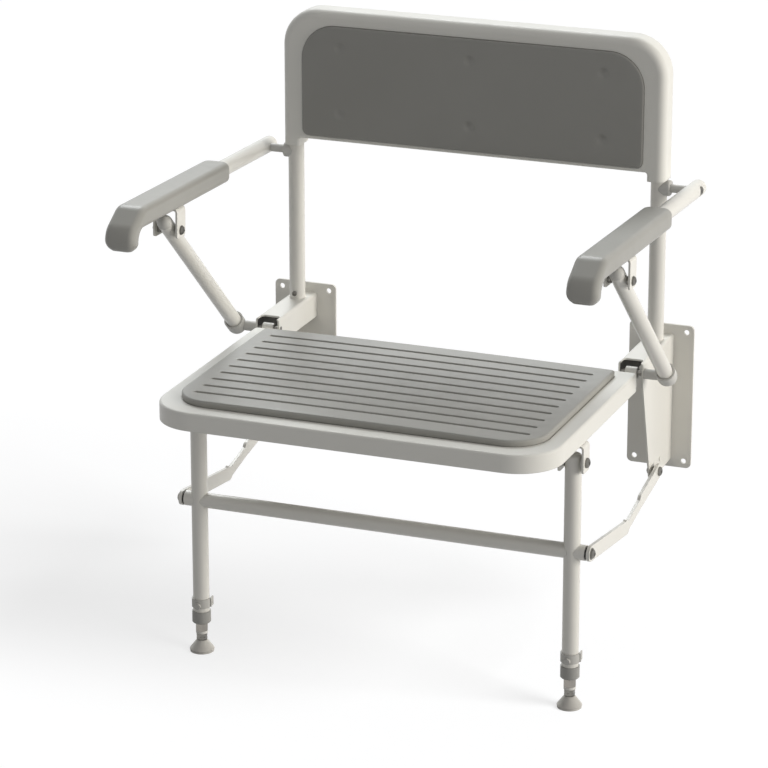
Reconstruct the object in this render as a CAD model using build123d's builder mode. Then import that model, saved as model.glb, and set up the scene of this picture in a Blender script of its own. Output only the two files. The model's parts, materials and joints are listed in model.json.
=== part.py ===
from build123d import *
from math import cos, radians, sin
import os

os.makedirs("parts", exist_ok=True)

# Fold-up padded shower seat with backrest, lift-up arms and folding legs.
# Frame: origin on the wall, midway between the two wall plates, at the height of
# their bolt patterns. +X is the viewer's right, +Y goes into the wall, +Z is up.
# All sizes are in millimetres. Names ending in _z are heights above the origin.

SIDES = (("left", -1), ("right", 1))

# Fits and clearances
running_fit = 0.05          # radial play of a pin in a turning hole
side_gap = 0.3              # axial gap between turning faces
slide_gap = 0.3             # radial gap between sliding tubes
seat_fit = 0.2              # radial play of pieces that are plugged together
head_taper = 15.0           # slope of a button head in degrees

# Height of the bolt pattern above the floor
bolt_height = 358.5
floor_z = -bolt_height

# Wall plates
side_x = 301.0              # centre plane of plates, brackets, posts and legs
plate_width = 105.0
plate_height = 235.0
plate_thickness = 4.0
plate_corner = 8.0
bolt_edge_x = 12.0          # bolt holes from the plate's sides
bolt_edge_z = 11.0
bolt_hole = 8.5

# Bracket arms: pressed channels with a deep outer gusset
channel_width = 40.0
channel_wall = 3.0
channel_top_z = 102.0
channel_depth = 40.0
channel_length = 157.5
channel_bend = 5.0
gusset_front_drop = 35.0    # straight part of the gusset's front edge
gusset_foot_z = -104.0      # lower edge of the gusset at the plate
notch_play = 7.0            # room beside the hinge lug
notch_depth = 17.0
notch_corner = 6.0
stop_radius = 4.0
stop_height = 1.5
stop_y = -65.0
stop_z = -84.0

# Seat hinge, also the pivot of the strut cups
hinge_y = -155.0
hinge_z = 84.0
hinge_pin_radius = 5.0
pin_end_wall = 2.5          # cup wall left beyond the pin's end
lug_width = 18.0
lug_radius = 9.0
lug_height = 13.0
lug_tail = 34.0

# Link pivot on the gusset
link_pivot_y = -100.0
link_pivot_z = -92.0
ear_radius = 16.0

# Backrest posts
post_radius = 12.7
post_wall = 2.0
post_y = -37.5
post_end_drop = 60.0        # post end below the top of the backrest
spigot_height = 32.0
post_screw_rise = 9.0

# Backrest shell and pad
shell_overhang = 14.0       # shell beyond the axis of each post
shell_top_z = 582.0
shell_bottom_z = 372.5
shell_corner = 60.0
shell_front_y = -60.0
shell_rear_y = -22.0
shell_edge = 13.0
shell_rear_edge = 2.0
shell_lip_edge = 5.0
shell_pocket_corner = 31.0
shell_wall = 4.0
shell_face = 7.0            # wall behind the pad
socket_drop = 13.0          # sockets below the shell's lower edge
socket_reach = 14.0         # socket inward of the post's axis
socket_step_radius = 4.0
shell_rib = 3.0
shell_rib_count = 4
shell_rib_pitch = 108.0
back_pad_side_rim = 34.0    # shell showing on each side of the pad
back_pad_top_rim = 23.5
back_pad_low_rim = 6.5
back_pad_top_corner = 56.0
back_pad_bottom_corner = 11.0
back_pad_seat = 9.0         # depth of the recess that holds the pad
back_pad_proud = 3.0        # edge height above the shell's face
back_pad_crown = 2.5
back_pad_edge = 3.0
back_pad_fit = 0.4
dimple_pitch_x = 216.0
dimple_top_rim = 34.5       # dimples from the pad's upper edge
dimple_low_rim = 40.0
dimple_radius = 14.0
dimple_depth = 1.0

# Arms
arm_offset = 56.0           # arm outward of the post's axis
arm_pivot_z = 346.5
arm_radius = 12.7
arm_wall = 2.0
arm_rise = 2.0              # slope of the arm in degrees
arm_length = 490.0
arm_tail = 34.0             # domed end behind the pivot
arm_spot_radius = 8.0
arm_spot_depth = 4.0
arm_bolt_radius = 4.0
arm_bolt_head = 6.5
arm_bolt_head_height = 4.0
collar_radius = 12.5
collar_height = 24.0
collar_reach = 6.5
collar_corner = 11.0
collar_edge = 2.0
stub_radius = 6.5

# Arm pads, measured along and across the arm from its pivot
arm_pad_rear = 183.0
arm_pad_ridge = 503.0       # where the top turns down to the nose
arm_pad_tip = 550.0
arm_pad_tip_height = -19.0
arm_pad_nose_foot = 542.0
arm_pad_nose_back = 520.0
arm_pad_top = 17.5
arm_pad_bottom = -14.0
arm_pad_nose_bottom = -43.0
arm_pad_half_width = 24.0
arm_pad_ridge_bend = 26.0
arm_pad_tip_bend = 16.0
arm_pad_inner_bend = 18.0
arm_pad_edge = 10.0
arm_pad_rear_corner = 13.0
arm_pad_nose_edge = 10.0
arm_pad_fit = 0.2

# Bracket under the arm and the strut below it
fork_along = 365.0          # pivot of the strut, measured along the arm
fork_below = -49.3
fork_length = 30.0
fork_half_width = 20.0
fork_wall = 3.0
fork_bend = 6.0
fork_foot = 11.0
fork_corner = 5.0
strut_radius = 12.0
strut_wall = 1.8
strut_top = 20.0            # tube end above the pivot
strut_shoulder = 7.0        # radius of the bolt's shoulders beside the strut
strut_bolt_radius = 4.0
strut_bolt_head = 6.5
strut_bolt_head_height = 3.5
cap_plug = 8.0
cup_radius = 15.5
cup_mouth = 17.0
cup_floor = 5.0
cup_stub_radius = 8.0
cup_gap = 0.7               # radial play of the strut, which leaves at a slight angle

# Seat frame and pad
seat_overhang = 15.0        # seat beyond the bracket's centre plane
seat_front_y = -595.0
seat_hinge_gap = 20.0       # rear face of the seat in front of the hinge axis
seat_top_z = 91.0
seat_height = 28.5
seat_front_corner = 70.0
seat_rear_corner = 6.0
seat_edge = 4.0
seat_wall = 5.0
seat_skin = 5.0
seat_rib = 3.0
seat_rib_pitch_x = 98.0
seat_rib_pitch_y = 92.0
seat_long_rib_count = 6
seat_cross_rib_count = 4
pad_recess = 2.0
pad_fit = 0.4
pad_side_rim = 27.0         # frame showing on each side of the pad
pad_front_y = -564.0
pad_rear_y = -200.0
pad_thickness = 14.0
pad_crown = 2.0
pad_front_corner = 58.0
pad_rear_corner = 6.0
pad_edge = 3.0
groove_count = 10
groove_pitch = 32.2
groove_first_y = -236.2
groove_end_rim = 24.0       # pad left beyond each groove end
groove_width = 6.6
groove_depth = 4.0

# Pad screws
pad_screw_radius = 2.0
pad_screw_head = 4.2
pad_screw_head_height = 2.5
pad_screw_bite = 6.0
screw_well_radius = 8.4      # room round a screw head among the ribs
seat_screw_pitch_x = 220.0
seat_screw_pitch_y = 220.0

# Legs, crossbar and hangers
leg_y = -433.0
leg_radius = 12.7
leg_wall = 2.0
leg_pivot_z = 33.0
leg_head = 13.0             # tube end above the pivot
leg_head_edge = 6.0
leg_bottom_z = -304.0
crossbar_z = -108.3
crossbar_radius = 11.8
crossbar_wall = 2.0
crossbar_stub = 9.5         # crossbar end outside the leg tube
end_plug_stand = 3.0        # plug beyond the crossbar's end
end_plug_depth = 14.0
end_plug_bore = 4.3
hanger_length = 28.0
hanger_half_width = 20.0
hanger_wall = 3.0
hanger_bend = 6.0
hanger_foot = 14.0
hanger_corner = 4.0
leg_bolt_radius = 4.0
leg_bolt_head = 6.5
leg_bolt_head_height = 4.0
leg_bush_radius = 8.5

# Links between gusset and crossbar
link_thickness = 5.0
link_bend_y = -258.0
link_bend_z = -129.0
link_narrow = 8.0
link_wide = 11.0
link_eye = 12.0
link_latch_y = -186.0       # end of the broad stretch by the gusset
link_latch_z = -110.0
link_latch_radius = 10.5
link_tooth_y = -262.0
link_tooth_z = -119.0
link_tooth_radius = 4.0
link_bolt_radius = 4.0
link_bolt_head = 7.5
link_bolt_head_height = 4.5
link_nut = 6.5
link_nut_height = 5.0

# Leg bottoms: ferrule, extension tube, clip and foot
ferrule_radius = 14.6
ferrule_bottom_z = -310.5
ferrule_top_z = -291.0
ferrule_chamfer = 1.5
extension_radius = 9.2
extension_wall = 1.5
extension_bottom_z = -324.5
extension_top_z = -164.0
height_hole_radius = 4.4
height_hole_pitch = 15.0
height_hole_count = 6
clip_height = 14.5
clip_z = -277.0
clip_wall = 1.8
clip_button_radius = 5.0
clip_button_height = 3.0
clip_button_drop = 2.5      # button below the clip's middle
clip_peg_radius = 4.0
clip_tail_width = 3.0
clip_tail_length = 14.0
clip_tail_reach = 1.6
plug_flange = 4.0
plug_sleeve = 16.0
stud_radius = 5.0
stud_top_z = -300.0
nut_flats = 14.6
nut_height = 11.5
foot_top_radius = 8.5
foot_wide_radius = 19.2
foot_wide_z = -354.0
foot_groove_z = -356.0
foot_groove_depth = 0.8
foot_base_radius = 18.6
foot_socket_depth = 4.0

# Values that follow from the sizes above
bolt_spacing_x = plate_width - 2 * bolt_edge_x
bolt_spacing_z = plate_height - 2 * bolt_edge_z
plate_front_y = -plate_thickness
channel_front_y = plate_front_y - channel_length
shell_half_width = side_x + shell_overhang
socket_inner_x = side_x - socket_reach
socket_bottom_z = shell_bottom_z - socket_drop
back_pad_half_width = shell_half_width - back_pad_side_rim
back_pad_top_z = shell_top_z - back_pad_top_rim
back_pad_bottom_z = shell_bottom_z + back_pad_low_rim
dimple_high_z = back_pad_top_z - dimple_top_rim
dimple_low_z = back_pad_bottom_z + dimple_low_rim
seat_half_width = side_x + seat_overhang
pad_half_width = seat_half_width - pad_side_rim
groove_half_length = pad_half_width - groove_end_rim
arm_x = side_x + arm_offset
post_top_z = shell_top_z - post_end_drop
channel_inner_gap = channel_width - 2 * channel_wall
bracket_outer_x = side_x + channel_width / 2
cup_stub_end_x = bracket_outer_x + side_gap
hinge_pin_end_x = arm_x - strut_radius - cup_gap - pin_end_wall
seat_rear_y = hinge_y - seat_hinge_gap
seat_bottom_z = seat_top_z - seat_height
pad_floor_z = seat_top_z - pad_recess
pad_top_z = pad_floor_z + pad_thickness
leg_bore = leg_radius - leg_wall
crossbar_end_x = side_x + leg_radius + crossbar_stub
plug_end_x = crossbar_end_x + end_plug_stand
link_inner_x = plug_end_x + side_gap
link_outer_x = link_inner_x + link_thickness
plug_bottom_z = extension_bottom_z - plug_flange
nut_bottom_z = plug_bottom_z - nut_height
stub_end_x = arm_x - arm_radius - side_gap
arm_forward = Vector(0, -cos(radians(arm_rise)), sin(radians(arm_rise)))
arm_up = Vector(0, sin(radians(arm_rise)), cos(radians(arm_rise)))
arm_pivot = Vector(0, post_y, arm_pivot_z)
strut_pivot = arm_pivot + arm_forward * fork_along + arm_up * fork_below
hinge_point = Vector(0, hinge_y, hinge_z)
strut_span = (hinge_point - strut_pivot).length
strut_down = (hinge_point - strut_pivot).normalized()
dome_radius_back = back_pad_half_width**2 / (2 * back_pad_crown)
dome_radius_seat = pad_half_width**2 / (2 * pad_crown)


def keep(part, name):
    """Label a finished piece and write it to its own file."""
    part.label = name
    export_step(part, f"parts/{name}.step")


def side_plane(x):
    """Plane across the object at x: its sketch axes are Y and Z, its normal is +X."""
    return Plane.YZ.offset(x)


def arm_side_plane(x):
    """Plane at x whose sketch axes run along and across the arm from its pivot."""
    return Plane(origin=(x, arm_pivot.Y, arm_pivot.Z), x_dir=arm_forward, z_dir=(-1, 0, 0))


def wall_plate(side, sign):
    with BuildPart() as plate:
        with BuildSketch(Plane.XZ):
            with Locations((sign * side_x, 0)):
                RectangleRounded(plate_width, plate_height, plate_corner)
                with GridLocations(bolt_spacing_x, bolt_spacing_z, 2, 2):
                    Circle(bolt_hole / 2, mode=Mode.SUBTRACT)
        extrude(amount=plate_thickness)
    keep(plate.part, f"{side}_wall_plate")


def bracket_arm(side, sign):
    inner_x = sign * (side_x - channel_width / 2)
    outer_x = sign * bracket_outer_x
    cavity_top_z = channel_top_z - channel_wall
    with BuildPart() as bracket:
        # Gusset outline over the whole channel width
        with BuildSketch(side_plane(inner_x)):
            with BuildLine():
                Polyline(
                    (plate_front_y, gusset_foot_z),
                    (plate_front_y, channel_top_z),
                    (channel_front_y, channel_top_z),
                    (channel_front_y, channel_top_z - gusset_front_drop),
                )
                CenterArc((link_pivot_y, link_pivot_z), ear_radius, 0, 360)
            make_hull()
        extrude(amount=sign * channel_width)
        top_edges = bracket.faces().sort_by(Axis.Z)[-1].edges().filter_by(Axis.Y)
        fillet(top_edges, channel_bend)
        # Hollow of the channel, open at the front and below
        with BuildSketch(Plane.XZ):
            with Locations((sign * side_x, cavity_top_z)):
                Rectangle(channel_inner_gap, 3 * channel_depth + plate_height,
                          align=(Align.CENTER, Align.MAX))
        extrude(amount=2 * channel_length, mode=Mode.SUBTRACT)
        # The inner flange is short
        with BuildSketch(side_plane(inner_x)):
            with Locations((0, channel_top_z - channel_depth)):
                Rectangle(4 * channel_length, plate_height, align=(Align.CENTER, Align.MAX))
        extrude(amount=sign * channel_width / 2, mode=Mode.SUBTRACT)
        # Notch for the hinge lug in the front of the web
        with BuildSketch(Plane.XY.offset(channel_top_z)) as notch:
            with Locations((sign * side_x, channel_front_y)):
                Rectangle(lug_width + 2 * notch_play, 2 * notch_depth)
            fillet(notch.vertices().group_by(Axis.Y)[-1], notch_corner)
        extrude(amount=-2 * channel_wall, mode=Mode.SUBTRACT)
        # Hinge pin and link bolt holes
        with BuildSketch(side_plane(inner_x)):
            with Locations((hinge_y, hinge_z)):
                Circle(hinge_pin_radius)
            with Locations((link_pivot_y, link_pivot_z)):
                Circle(link_bolt_radius)
        extrude(amount=sign * 2 * channel_width, mode=Mode.SUBTRACT)
        # Stop stud welded to the gusset
        with BuildSketch(side_plane(outer_x)):
            with Locations((stop_y, stop_z)):
                Circle(stop_radius)
        extrude(amount=sign * stop_height)
        # Spigot for the backrest post, welded on the web
        with BuildSketch(Plane.XY.offset(channel_top_z)):
            with Locations((sign * side_x, post_y)):
                Circle(post_radius - post_wall - seat_fit)
        extrude(amount=spigot_height)
    keep(bracket.part, f"{side}_bracket_arm")


def back_post(side, sign):
    with BuildPart() as post:
        with BuildSketch(Plane.XY.offset(channel_top_z)):
            with Locations((sign * side_x, post_y)):
                Circle(post_radius)
                Circle(post_radius - post_wall, mode=Mode.SUBTRACT)
        extrude(amount=post_top_z - channel_top_z)
        # Screw hole at the foot and pivot bolt hole at the arm
        with BuildSketch(Plane.XZ.offset(-post_y)):
            with Locations((sign * side_x, channel_top_z + post_screw_rise)):
                Circle(pad_screw_radius)
        extrude(amount=2 * post_radius, mode=Mode.SUBTRACT)
        with BuildSketch(side_plane(sign * side_x)):
            with Locations((post_y, arm_pivot_z)):
                Circle(arm_bolt_radius)
        extrude(amount=sign * 2 * post_radius, mode=Mode.SUBTRACT)
    keep(post.part, f"{side}_back_post")


def post_screws():
    with BuildPart() as screws:
        for _, sign in SIDES:
            spot = (sign * side_x, channel_top_z + post_screw_rise)
            with BuildSketch(Plane.XZ.offset(-post_y + post_radius - post_wall)):
                with Locations(spot):
                    Circle(pad_screw_radius)
            extrude(amount=post_wall)
            with BuildSketch(Plane.XZ.offset(-post_y + post_radius)):
                with Locations(spot):
                    Circle(pad_screw_head)
            extrude(amount=pad_screw_head_height, taper=head_taper)
    keep(screws.part, "post_screws")


def backrest_shell():
    shell_depth = shell_rear_y - shell_front_y
    recess_floor_y = shell_front_y + back_pad_seat
    pocket_depth = shell_rear_y - recess_floor_y - shell_face
    pocket_half_width = socket_inner_x - shell_wall
    pocket_low_z = shell_bottom_z + shell_wall
    pocket_high_z = shell_top_z - shell_wall
    with BuildPart() as shell:
        with BuildSketch(Plane.XZ.offset(-shell_rear_y)) as outline:
            with Locations((0, socket_bottom_z)):
                Rectangle(2 * shell_half_width, shell_top_z - socket_bottom_z,
                          align=(Align.CENTER, Align.MIN))
            fillet(outline.vertices().group_by(Axis.Y)[-1], shell_corner)
        extrude(amount=shell_depth)
        # Broadly rounded front rim, small rear one
        front_rim = shell.faces().sort_by(Axis.Y)[0].edges().sort_by(Axis.Z)[1:]
        fillet(front_rim, shell_edge)
        rear_rim = shell.faces().sort_by(Axis.Y)[-1].edges().sort_by(Axis.Z)[1:]
        fillet(rear_rim, shell_rear_edge)
        # Lower edge stepped up between the post sockets, with a rounded lip
        with BuildSketch(Plane.XZ.offset(-shell_rear_y)) as step:
            with Locations((0, shell_bottom_z)):
                Rectangle(2 * socket_inner_x, 2 * (shell_bottom_z - socket_bottom_z),
                          align=(Align.CENTER, Align.MAX))
            fillet(step.vertices().group_by(Axis.Y)[-1], socket_step_radius)
        extrude(amount=shell_depth, mode=Mode.SUBTRACT)
        front_edges = shell.faces().sort_by(Axis.Y)[0].edges()
        lip = front_edges.filter_by(
            lambda e: abs(e.center().X) <= socket_inner_x and socket_bottom_z < e.center().Z <= shell_bottom_z
        )
        fillet(lip, shell_lip_edge)
        # Recess for the pad
        with BuildSketch(Plane.XZ.offset(-shell_front_y)) as recess:
            with Locations((0, back_pad_bottom_z - back_pad_fit)):
                Rectangle(
                    2 * (back_pad_half_width + back_pad_fit),
                    back_pad_top_z - back_pad_bottom_z + 2 * back_pad_fit,
                    align=(Align.CENTER, Align.MIN),
                )
            fillet(recess.vertices().group_by(Axis.Y)[-1], back_pad_top_corner + back_pad_fit)
            fillet(recess.vertices().group_by(Axis.Y)[0], back_pad_bottom_corner + back_pad_fit)
        extrude(amount=-back_pad_seat, mode=Mode.SUBTRACT)
        # Ribbed hollow at the back, between the post sockets
        with BuildSketch(Plane.XZ.offset(-shell_rear_y)) as pocket:
            with Locations((0, pocket_low_z)):
                Rectangle(2 * pocket_half_width, pocket_high_z - pocket_low_z,
                          align=(Align.CENTER, Align.MIN))
            fillet(pocket.vertices().group_by(Axis.Y)[-1], shell_pocket_corner)
            with Locations((0, (pocket_low_z + pocket_high_z) / 2)):
                with GridLocations(shell_rib_pitch, 1, shell_rib_count, 1):
                    Rectangle(shell_rib, shell_top_z, mode=Mode.SUBTRACT)
                Rectangle(4 * socket_inner_x, shell_rib, mode=Mode.SUBTRACT)
        extrude(amount=pocket_depth, mode=Mode.SUBTRACT)
        # Post sockets and holes for the pad screws
        with BuildSketch(Plane.XY.offset(socket_bottom_z)):
            with Locations(*[(sign * side_x, post_y) for _, sign in SIDES]):
                Circle(post_radius + seat_fit / 2)
        extrude(amount=post_top_z - socket_bottom_z, mode=Mode.SUBTRACT)
        with BuildSketch(Plane.XZ.offset(-shell_rear_y)):
            with Locations(*back_screw_spots()):
                Circle(pad_screw_radius)
        extrude(amount=shell_depth, mode=Mode.SUBTRACT)
    keep(shell.part, "backrest_shell")


def back_screw_spots():
    """Six fixing points of the back pad, as X and Z."""
    return [(i * dimple_pitch_x, z) for z in (dimple_low_z, dimple_high_z) for i in (-1, 0, 1)]


def back_pad():
    rear_y = shell_front_y + back_pad_seat
    crown_y = shell_front_y - back_pad_proud - back_pad_crown
    middle_z = (back_pad_bottom_z + back_pad_top_z) / 2
    with BuildPart() as pad:
        with BuildSketch(Plane.XZ.offset(-rear_y)) as outline:
            with Locations((0, back_pad_bottom_z)):
                Rectangle(2 * back_pad_half_width, back_pad_top_z - back_pad_bottom_z,
                          align=(Align.CENTER, Align.MIN))
            fillet(outline.vertices().group_by(Axis.Y)[-1], back_pad_top_corner)
            fillet(outline.vertices().group_by(Axis.Y)[0], back_pad_bottom_corner)
        extrude(amount=2 * back_pad_seat + 2 * back_pad_crown)
        # Crowned front with rounded, drawn-in edges
        with Locations((0, crown_y + dome_radius_back, middle_z)):
            Sphere(dome_radius_back, mode=Mode.INTERSECT)
        fillet(pad.faces().sort_by(Axis.Y)[0].edges(), back_pad_edge)
        # A dimple over each fixing screw
        ball = (dimple_radius**2 + dimple_depth**2) / (2 * dimple_depth)
        for x, z in back_screw_spots():
            sag = (x**2 + (z - middle_z) ** 2) / (2 * dome_radius_back)
            with Locations((x, crown_y + sag + dimple_depth - ball, z)):
                Sphere(ball, mode=Mode.SUBTRACT)
        with BuildSketch(Plane.XZ.offset(-rear_y)):
            with Locations(*back_screw_spots()):
                Circle(pad_screw_radius)
        extrude(amount=pad_screw_bite, mode=Mode.SUBTRACT)
    keep(pad.part, "back_pad")


def back_pad_screws():
    seat_y = shell_front_y + back_pad_seat
    head_y = seat_y + shell_face
    with BuildPart() as screws:
        with BuildSketch(Plane.XZ.offset(-head_y)):
            with Locations(*back_screw_spots()):
                Circle(pad_screw_radius)
        extrude(amount=shell_face + pad_screw_bite)
        with BuildSketch(Plane.XZ.offset(-head_y)):
            with Locations(*back_screw_spots()):
                Circle(pad_screw_head)
        extrude(amount=-pad_screw_head_height)
    keep(screws.part, "back_pad_screws")


def arm_collar(side, sign):
    with BuildPart() as collar:
        # Round boss on the outside of the post, hollowed to fit round it
        with BuildSketch(side_plane(sign * side_x)) as boss:
            with Locations((post_y, arm_pivot_z)):
                RectangleRounded(2 * collar_radius, collar_height, collar_corner)
        extrude(amount=sign * (post_radius + collar_reach))
        fillet(collar.faces().sort_by(Axis.X)[-1 if sign > 0 else 0].edges(), collar_edge)
        # Stub that carries the arm
        with BuildSketch(side_plane(sign * (side_x + post_radius))):
            with Locations((post_y, arm_pivot_z)):
                Circle(stub_radius)
        extrude(amount=sign * (stub_end_x - side_x - post_radius))
        with BuildSketch(Plane.XY.offset(arm_pivot_z)):
            with Locations((sign * side_x, post_y)):
                Circle(post_radius)
        extrude(amount=collar_height, both=True, mode=Mode.SUBTRACT)
        with BuildSketch(side_plane(sign * side_x)):
            with Locations((post_y, arm_pivot_z)):
                Circle(arm_bolt_radius)
        extrude(amount=sign * arm_x, mode=Mode.SUBTRACT)
    piece = collar.part.solids().sort_by(Axis.X)[-1 if sign > 0 else 0]
    keep(Part(piece.wrapped), f"{side}_arm_collar")


def arm_pivot_bolts():
    head_x = arm_x + arm_radius - arm_spot_depth + side_gap
    with BuildPart() as bolts:
        for _, sign in SIDES:
            # The bolt is screwed into the post's outer wall and ends inside the tube
            with BuildSketch(side_plane(sign * side_x)):
                with Locations((post_y, arm_pivot_z)):
                    Circle(arm_bolt_radius)
            extrude(amount=sign * (head_x - side_x))
            with BuildSketch(side_plane(sign * head_x)):
                with Locations((post_y, arm_pivot_z)):
                    Circle(arm_bolt_head)
            extrude(amount=sign * arm_bolt_head_height, taper=head_taper)
    keep(bolts.part, "arm_pivot_bolts")


def hinge_pins():
    pin_start_x = side_x - channel_width / 2
    with BuildPart() as pins:
        for _, sign in SIDES:
            with BuildSketch(side_plane(sign * pin_start_x)):
                with Locations((hinge_y, hinge_z)):
                    Circle(hinge_pin_radius)
            extrude(amount=sign * (hinge_pin_end_x - pin_start_x))
    keep(pins.part, "hinge_pins")


def link_pivot_bolts():
    spacer_end_x = link_inner_x - side_gap
    head_x = link_outer_x + side_gap
    nut_x = bracket_outer_x - channel_wall
    with BuildPart() as bolts:
        for _, sign in SIDES:
            for start_x, end_x, radius in (
                (nut_x, head_x, link_bolt_radius),
                (bracket_outer_x, spacer_end_x, link_nut),
                (nut_x - link_nut_height, nut_x, link_nut),
            ):
                with BuildSketch(side_plane(sign * start_x)):
                    with Locations((link_pivot_y, link_pivot_z)):
                        Circle(radius)
                extrude(amount=sign * (end_x - start_x))
            with BuildSketch(side_plane(sign * head_x)):
                with Locations((link_pivot_y, link_pivot_z)):
                    Circle(link_bolt_head)
            extrude(amount=sign * link_bolt_head_height, taper=head_taper)
    keep(bolts.part, "link_pivot_bolts")


def seat_outline():
    """Plan of the seat frame: broad front corners, nearly square rear ones."""
    middle_y = (seat_front_y + seat_rear_y) / 2
    with BuildSketch() as plan:
        with Locations((0, middle_y)):
            Rectangle(2 * seat_half_width, seat_rear_y - seat_front_y)
        fillet(plan.vertices().group_by(Axis.Y)[0], seat_front_corner)
        fillet(plan.vertices().group_by(Axis.Y)[-1], seat_rear_corner)
    return plan.sketch


def pad_outline(grow):
    """Plan of the seat pad, grown outward for the recess that holds it."""
    middle_y = (pad_front_y + pad_rear_y) / 2
    with BuildSketch() as plan:
        with Locations((0, middle_y)):
            Rectangle(2 * (pad_half_width + grow), pad_rear_y - pad_front_y + 2 * grow)
        fillet(plan.vertices().group_by(Axis.Y)[0], pad_front_corner + grow)
        fillet(plan.vertices().group_by(Axis.Y)[-1], pad_rear_corner + grow)
    return plan.sketch


def seat_screw_spots():
    """Six fixing points of the seat pad, as X and Y."""
    middle_y = (pad_front_y + pad_rear_y) / 2
    half_y = seat_screw_pitch_y / 2
    return [(i * seat_screw_pitch_x, middle_y + j * half_y) for j in (-1, 1) for i in (-1, 0, 1)]


def seat_frame():
    middle_y = (seat_front_y + seat_rear_y) / 2
    pocket_height = seat_height - pad_recess - seat_skin
    rim_plan = seat_outline()
    pocket_plan = offset(rim_plan, amount=-seat_wall, mode=Mode.PRIVATE)
    with BuildPart() as frame:
        with BuildSketch(Plane.XY.offset(seat_bottom_z)):
            add(rim_plan)
        extrude(amount=seat_height)
        fillet(frame.faces().sort_by(Axis.Z)[-1].edges(), seat_edge)
        with BuildSketch(Plane.XY.offset(pad_floor_z)):
            add(pad_outline(pad_fit))
        extrude(amount=2 * pad_recess, mode=Mode.SUBTRACT)
        # Hollow underside with a grid of ribs and a block over each leg hanger
        with BuildSketch(Plane.XY.offset(seat_bottom_z)):
            add(pocket_plan)
            with Locations((0, middle_y)):
                with GridLocations(seat_rib_pitch_x, 1, seat_long_rib_count, 1):
                    Rectangle(seat_rib, 2 * seat_half_width, mode=Mode.SUBTRACT)
                with GridLocations(1, seat_rib_pitch_y, 1, seat_cross_rib_count):
                    Rectangle(4 * seat_half_width, seat_rib, mode=Mode.SUBTRACT)
            with Locations(*[(sign * side_x, leg_y) for _, sign in SIDES]):
                Rectangle(2 * hanger_half_width, hanger_length, mode=Mode.SUBTRACT)
            with Locations(*seat_screw_spots()):
                Circle(screw_well_radius)
        extrude(amount=pocket_height, mode=Mode.SUBTRACT)
        # Slots in the rear wall for the hinge lugs
        with BuildSketch(Plane.XZ.offset(-seat_rear_y)):
            with Locations(*[(sign * side_x, hinge_z) for _, sign in SIDES]):
                Rectangle(lug_width, lug_height, align=(Align.CENTER, Align.MAX))
        extrude(amount=lug_tail, both=True, mode=Mode.SUBTRACT)
        with BuildSketch(Plane.XY.offset(seat_bottom_z)):
            with Locations(*seat_screw_spots()):
                Circle(pad_screw_radius)
        extrude(amount=seat_height, mode=Mode.SUBTRACT)
    keep(frame.part, "seat_frame")


def seat_pad():
    middle_y = (pad_front_y + pad_rear_y) / 2
    dome_reach = pad_half_width + (pad_rear_y - pad_front_y) / 2
    dome_rim_z = pad_top_z - dome_reach**2 / (2 * dome_radius_seat)
    with BuildPart() as pad:
        with BuildSketch(Plane.XY.offset(pad_floor_z)):
            add(pad_outline(0))
        extrude(amount=2 * pad_thickness)
        # Crowned top, turned about the pad's middle, with rounded edges
        with BuildSketch(Plane.XZ.offset(-middle_y)):
            with BuildLine():
                RadiusArc((0, pad_top_z), (dome_reach, dome_rim_z), dome_radius_seat)
                Polyline((dome_reach, dome_rim_z), (dome_reach, pad_floor_z), (0, pad_floor_z),
                         (0, pad_top_z))
            make_face()
        revolve(axis=Axis((0, middle_y, 0), (0, 0, 1)), mode=Mode.INTERSECT)
        fillet(pad.faces().sort_by(Axis.Z)[-1].edges(), pad_edge)
        # Drainage grooves with round ends
        with BuildSketch(Plane.XY.offset(pad_top_z - groove_depth)):
            for i in range(groove_count):
                with Locations((0, groove_first_y - i * groove_pitch)):
                    SlotOverall(2 * groove_half_length, groove_width)
        extrude(amount=2 * groove_depth, mode=Mode.SUBTRACT)
        with BuildSketch(Plane.XY.offset(pad_floor_z)):
            with Locations(*seat_screw_spots()):
                Circle(pad_screw_radius)
        extrude(amount=pad_screw_bite, mode=Mode.SUBTRACT)
    keep(pad.part, "seat_pad")


def seat_pad_screws():
    head_z = pad_floor_z - seat_skin
    with BuildPart() as screws:
        with BuildSketch(Plane.XY.offset(head_z)):
            with Locations(*seat_screw_spots()):
                Circle(pad_screw_radius)
        extrude(amount=seat_skin + pad_screw_bite)
        with BuildSketch(Plane.XY.offset(head_z)):
            with Locations(*seat_screw_spots()):
                Circle(pad_screw_head)
        extrude(amount=-pad_screw_head_height)
    keep(screws.part, "seat_pad_screws")


def hinge_lug(side, sign):
    with BuildPart() as lug:
        # Barrel round the pin, with a tail that reaches under the seat's skin
        with BuildSketch(side_plane(sign * side_x)):
            with Locations((hinge_y, hinge_z)):
                Circle(lug_radius)
            with BuildLine():
                Polyline(
                    (hinge_y, hinge_z),
                    (seat_rear_y - lug_tail, hinge_z),
                    (seat_rear_y - lug_tail, hinge_z - lug_height),
                    (seat_rear_y, hinge_z - lug_height),
                    (hinge_y, hinge_z - lug_radius),
                    close=True,
                )
            make_face()
            with Locations((hinge_y, hinge_z)):
                Circle(hinge_pin_radius + running_fit, mode=Mode.SUBTRACT)
        extrude(amount=lug_width / 2, both=True)
    keep(lug.part, f"{side}_hinge_lug")


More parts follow.
